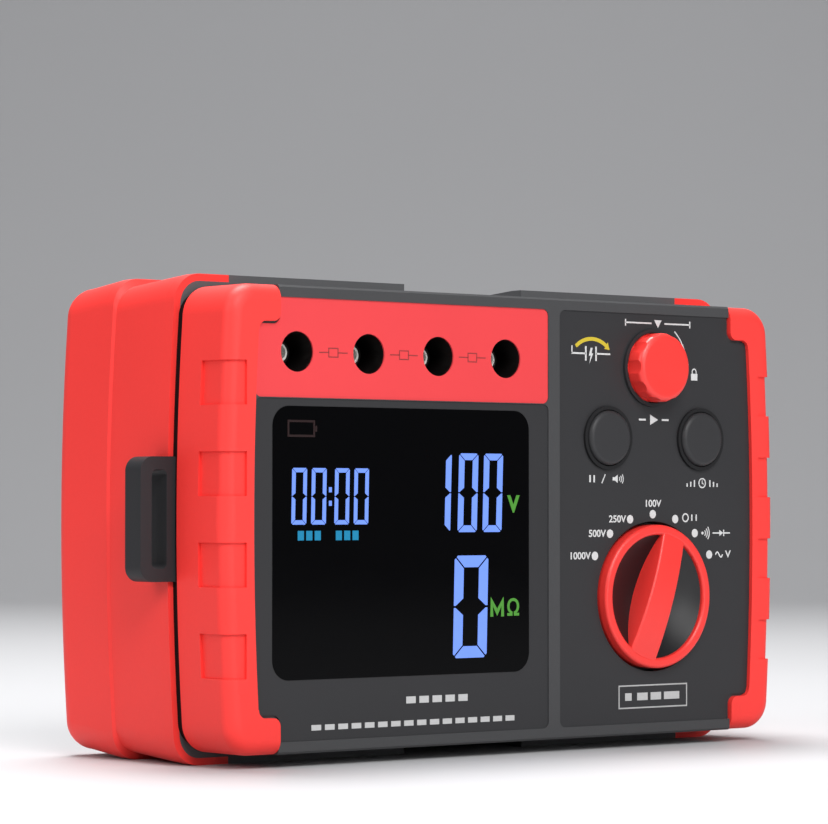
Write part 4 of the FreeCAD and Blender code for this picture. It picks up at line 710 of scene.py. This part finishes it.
class TESTER_OT_marks(Operator):
    """Signs beside the test knob and under the keys"""
    bl_idname = "tester.marks"
    bl_label = "Marks"

    def execute(self, context):
        sheet = Sheet("control_print", "control_panel", printed("mark_ink", colours().ink))
        knob = joint_spot("test_turn")
        self.press_sign(sheet, *beside(knob, PRESS_PLACE))
        self.lock_sign(sheet, *knob)
        self.start_sign(sheet, *beside(knob, START_PLACE))
        self.hold_sign(sheet, *HOLD_PLACE)
        self.speaker(sheet, *SPEAKER_PLACE)
        self.clock_sign(sheet, *CLOCK_PLACE)
        self.capacitor(sheet, *CAPACITOR_PLACE)
        sheet.done()
        self.yellow_arrow(*ARROW_PLACE)
        self.rating_field()
        return {"FINISHED"}

    def press_sign(self, sheet, x, z):
        """A line with an arrow onto the knob."""
        for side in (-1, 1):
            sheet.level(x + side * PRESS_FAR, x + side * PRESS_NEAR, z, FIRM)
            sheet.upright(x + side * PRESS_FAR, z - PRESS_TICK, z + PRESS_TICK, FIRM)
        sheet.shape(PRESS_ARROW, x, z)

    def lock_sign(self, sheet, x, z):
        """An arc around the knob that ends at a padlock."""
        sheet.line(arc_spots(x, z, LOCK_RADIUS, LOCK_START, LOCK_BASE, 18), THIN)
        base_x, base_z = arc_spot(x, z, LOCK_RADIUS, LOCK_BASE)
        tip_x, tip_z = arc_spot(x, z, LOCK_RADIUS, LOCK_TIP)
        sheet.shape([(base_x - LOCK_HALF, base_z), (base_x + LOCK_HALF, base_z),
                     (tip_x + LOCK_NOSE, tip_z + LOCK_NOSE)])
        x, z = beside((x, z), PADLOCK_PLACE)
        sheet.block(x - PADLOCK_HALF, x + PADLOCK_HALF, z + PADLOCK_LOW, z + PADLOCK_HIGH)
        foot = z + PADLOCK_HIGH
        sheet.line([(x - SHACKLE_HALF, foot), *arc_spots(x, z + SHACKLE_MIDDLE, SHACKLE_HALF, -90, 90, 10),
                    (x + SHACKLE_HALF, foot)], FINE)

    def start_sign(self, sheet, x, z):
        """A plain start triangle between two bars."""
        sheet.shape(START_ARROW, x, z)
        for side in (-1, 1):
            sheet.level(x + side * START_NEAR, x + side * START_FAR, z, BROAD)

    def hold_sign(self, sheet, x, z):
        """Two strokes, and the slash before the speaker."""
        for shift in (-HOLD_SHIFT, HOLD_SHIFT):
            sheet.upright(x + shift, z - HOLD_HALF, z + HOLD_HALF, HEAVY)
        sheet.line([beside((x, z), spot) for spot in SLASH], FINE)

    def speaker(self, sheet, x, z):
        sheet.shape(SPEAKER_CONE, x, z)
        for radius in SPEAKER_RINGS:
            sheet.line(arc_spots(x - SPEAKER_BACK, z, radius, *SPEAKER_ARC), HAIR)

    def clock_sign(self, sheet, x, z):
        """A small clock between two falling rows of bars."""
        sheet.ring(x, z, CLOCK_RADIUS, FINE)
        sheet.line([beside((x, z), spot) for spot in CLOCK_HANDS], HAIR)
        for side in (-1, 1):
            for number in range(CLOCK_BARS):
                sheet.upright(x + side * (BAR_START + BAR_PITCH * number), z + BAR_LOW,
                              z + BAR_HIGH - BAR_DROP * number, BOLD)

    def capacitor(self, sheet, x, z):
        """The sign of a capacitor that is discharged."""
        for side in (-1, 1):
            sheet.level(x + side * WIRE_FAR, x + side * PLATE_SHIFT, z, BOLD)
            sheet.upright(x + side * PLATE_SHIFT, z - PLATE_HALF, z + PLATE_HALF, HEAVY)
        sheet.upright(x + LEG_PLACE, z, z + LEG_TALL, THIN)
        sheet.shape(FLASH, x, z)

    def yellow_arrow(self, x, z):
        """A bowed arrow over the capacitor."""
        sheet = Sheet("discharge_print", "control_panel", printed("yellow_ink", colours().ink_yellow))
        sheet.line(arc_spots(x, z, ARROW_RADIUS, ARROW_START, ARROW_BASE, 20), ARROW_LINE)
        sheet.shape([arc_spot(x, z, ARROW_RADIUS - ARROW_HALF, ARROW_BASE),
                     arc_spot(x, z, ARROW_RADIUS + ARROW_HALF, ARROW_BASE),
                     arc_spot(x, z, ARROW_RADIUS, ARROW_TIP)])
        sheet.done()

    def rating_field(self):
        """A plain outlined field below the selector, with dashes in it."""
        left, right, low, high = FIELD
        sheet = Sheet("field_print", "control_panel", printed("field_ink", tinted(colours().ink, 0.7)))
        sheet.border(left, right, low, high, THIN)
        sheet.done()
        dashes = Sheet("field_sign", "control_panel", printed("field_sign_ink", tinted(colours().ink, 0.8)))
        for start, end in FIELD_DASHES:
            dashes.level(start, end, (low + high) / 2, FIELD_DASH_TALL)
        dashes.done()


ROWS = (
    # left, right, height of the middle, count of dashes, height of a dash
    (-40.8, -17.2, -50.3, 5, 1.9),
    (-74.0, 0.2, -56.7, 16, 1.5),
)
DASH_SHARE = 0.36                                # half of a dash, as a share of the row's pitch


class TESTER_OT_rows(Operator):
    """Two rows of plain dashes under the display window"""
    bl_idname = "tester.rows"
    bl_label = "Rows"

    def execute(self, context):
        sheet = Sheet("bezel_print", "display_bezel", printed("row_ink", tinted(colours().ink, 0.85)))
        for start, end, z, count, tall in ROWS:
            pitch = (end - start) / count
            for number in range(count):
                x = start + (number + 0.5) * pitch
                sheet.level(x - pitch * DASH_SHARE, x + pitch * DASH_SHARE, z, tall)
        sheet.done()
        return {"FINISHED"}


JACK_INK = (0.25, 0.02, 0.02)
JACK_CLEAR = 7.5                                 # from a jack's axis to the start of its line
LINK_WIDE, LINK_TALL = 1.6, 1.2                  # half sizes of the box between two jacks


class TESTER_OT_jack_marks(Operator):
    """Faint signs between the jacks"""
    bl_idname = "tester.jack_marks"
    bl_label = "Jack marks"

    def execute(self, context):
        sheet = Sheet("jack_print", "jack_plate", printed("jack_ink", JACK_INK))
        spots = [(item["pos_m"][0] / MM, (item["pos_m"][2] - PANEL_MIDDLE.y) / MM)
                 for item in frame["record"]["mounts"] if item["name"].startswith("test_jack")]
        for (left, z), (right, _) in zip(spots, spots[1:]):
            middle = (left + right) / 2
            sheet.level(left + JACK_CLEAR, middle - LINK_WIDE, z, HAIR)
            sheet.level(middle + LINK_WIDE, right - JACK_CLEAR, z, HAIR)
            sheet.border(middle - LINK_WIDE, middle + LINK_WIDE, z - LINK_TALL, z + LINK_TALL, HAIR)
        sheet.done()
        return {"FINISHED"}


# ---------------------------------------------------------------- display

SEGMENTS = {"0": "abcdef", "1": "bc"}
CLOCK_LEFT, CLOCK_LOW, CLOCK_SHIFTS = -80.4, -1.5, (0.0, 6.74, 14.75, 21.5)
CLOCK_SIZE, CLOCK_STROKE, CLOCK_LEAN = (5.1, 15.4), (1.25, 1.2), 0.02
COLON, COLON_HALF, COLON_LEVELS = (-67.5, -66.5), 0.7, (4.3, 8.0)
VOLTS_LEFT, VOLTS_LOW, VOLTS_TALL, VOLTS_STROKE, VOLTS_LEAN = -26.6, -3.8, 22.2, (2.05, 1.9), 0.03
VOLTS_DIGITS = (("1", 2.2, 0.0), ("0", 7.1, 4.9), ("0", 7.1, 14.1))      # digit, width, shift to the right
OHMS_PLACE, OHMS_SIZE, OHMS_STROKE, OHMS_LEAN = (-23.4, -39.2), (12.4, 28.8), (3.4, 3.3), 0.025
UNIT_TALL, VOLT_PLACE, OHM_PLACE = 4.5, (-0.9, 3.9), (-1.0, -25.6)
MEGA, MEGA_LINE = ((-9.0, -27.8), (-9.0, -23.5), (-7.0, -26.6), (-5.0, -23.5), (-5.0, -27.8)), 1.1
BLOCK_STARTS, BLOCK_COUNT, BLOCK_PITCH, BLOCK_WIDE = (-78.2, -65.1), 3, 2.9, 2.1
BLOCK_LOW, BLOCK_HIGH = -5.8, -3.2
DIM_RED, DIM_POWER = (0.018, 0.0015, 0.002), 0.5
CELL_BODY, CELL_TIP = (-81.4, -72.6, 22.6, 26.6), (-72.2, -71.6, 23.8, 25.4)      # left, right, low, high


class TESTER_OT_display(Operator):
    """Lit digits and signs behind the window"""
    bl_idname = "tester.display"
    bl_label = "Display"

    def execute(self, context):
        self.numbers()
        self.units()
        self.blocks()
        self.battery()
        return {"FINISHED"}

    def numbers(self):
        """The clock with its colon, the test voltage and the reading."""
        sheet = Sheet("display_digits", "display_window", lit("digit_glow", colours().digits))
        for shift in CLOCK_SHIFTS:
            self.digit(sheet, "0", shift + CLOCK_LEFT, CLOCK_LOW, CLOCK_SIZE, CLOCK_STROKE, CLOCK_LEAN)
        for z in COLON_LEVELS:
            sheet.block(*COLON, z - COLON_HALF, z + COLON_HALF)
        for digit, wide, shift in VOLTS_DIGITS:
            self.digit(sheet, digit, shift + VOLTS_LEFT, VOLTS_LOW, (wide, VOLTS_TALL), VOLTS_STROKE,
                       VOLTS_LEAN)
        self.digit(sheet, "0", *OHMS_PLACE, OHMS_SIZE, OHMS_STROKE, OHMS_LEAN)
        sheet.done()

    def digit(self, sheet, digit, x, z, size, stroke, lean):
        """Segments with mitred corners and thin dark lines between them; stroke is (side, top)."""
        (wide, tall), (thick, flat) = size, stroke
        gap, nick, middle, rise = thick * 0.09, thick * 0.25, tall / 2, thick * 0.6
        upper = [(0, middle + gap), (0, tall - nick - gap), (nick / 2, tall - nick / 2 - gap),
                 (thick, tall - flat - gap), (thick, middle + rise + gap), (thick * 0.2, middle + gap)]
        top = [(nick + gap, tall), (wide - nick - gap, tall), (wide - nick / 2 - gap, tall - nick / 2),
               (wide - thick - gap, tall - flat), (thick + gap, tall - flat),
               (nick / 2 + gap, tall - nick / 2)]

        def across(spots):
            return [(wide - a, b) for a, b in spots]

        def down(spots):
            return [(a, tall - b) for a, b in spots]

        shapes = {"a": top, "b": across(upper), "c": down(across(upper)), "d": down(top), "e": down(upper),
                  "f": upper}
        for name in SEGMENTS[digit]:
            sheet.shape([(a + lean * b, b) for a, b in shapes[name]], x, z)

    def units(self):
        """The volt sign, and the megohm sign; its M is drawn as one line."""
        sheet = Sheet("display_units", "display_window", lit("unit_glow", colours().digits_green))
        sheet.figures("V", *VOLT_PLACE, UNIT_TALL, bold=0.06, wide=1.0)
        sheet.line(MEGA, MEGA_LINE)
        sheet.figures("Ω", *OHM_PLACE, UNIT_TALL, wide=1.0)
        sheet.done()

    def blocks(self):
        """Two groups of blocks under the clock."""
        sheet = Sheet("display_blocks", "display_window", lit("block_glow", colours().digits_cyan))
        for start in BLOCK_STARTS:
            for number in range(BLOCK_COUNT):
                x = start + BLOCK_PITCH * number
                sheet.block(x, x + BLOCK_WIDE, BLOCK_LOW, BLOCK_HIGH)
        sheet.done()

    def battery(self):
        """A dim red battery in the corner."""
        sheet = Sheet("display_battery", "display_window", lit("dim_red", DIM_RED, DIM_POWER))
        sheet.border(*CELL_BODY, HEAVY)
        sheet.block(*CELL_TIP)
        sheet.done()


# ---------------------------------------------------------------- panel in the sidebar

STEPS = ("studio", "case", "panels", "controls", "inside", "dial", "marks", "rows", "jack_marks", "display")


class TESTER_PT_steps(Panel):
    """The tester's pieces, one button each"""
    bl_idname = "TESTER_PT_steps"
    bl_label = "Tester"
    bl_space_type = "VIEW_3D"
    bl_region_type = "UI"
    bl_category = "Tester"

    def draw(self, context):
        for step in STEPS:
            self.layout.operator("tester." + step)
        for group in (colours(), sizes()):
            for name in group.__annotations__:
                self.layout.prop(group, name)


CLASSES = (
    TesterColours, TesterSizes, TESTER_OT_studio, TESTER_OT_case, TESTER_OT_panels, TESTER_OT_controls,
    TESTER_OT_inside, TESTER_OT_dial, TESTER_OT_marks, TESTER_OT_rows, TESTER_OT_jack_marks,
    TESTER_OT_display, TESTER_PT_steps,
)


def register():
    for item in CLASSES:
        bpy.utils.register_class(item)
    bpy.types.Scene.tester_colours = PointerProperty(type=TesterColours)
    bpy.types.Scene.tester_sizes = PointerProperty(type=TesterSizes)


def unregister():
    del bpy.types.Scene.tester_sizes
    del bpy.types.Scene.tester_colours
    for item in reversed(CLASSES):
        bpy.utils.unregister_class(item)


def main():
    register()
    for step in STEPS:
        getattr(bpy.ops.tester, step)()
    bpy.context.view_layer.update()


if __name__ == "__main__":
    main()
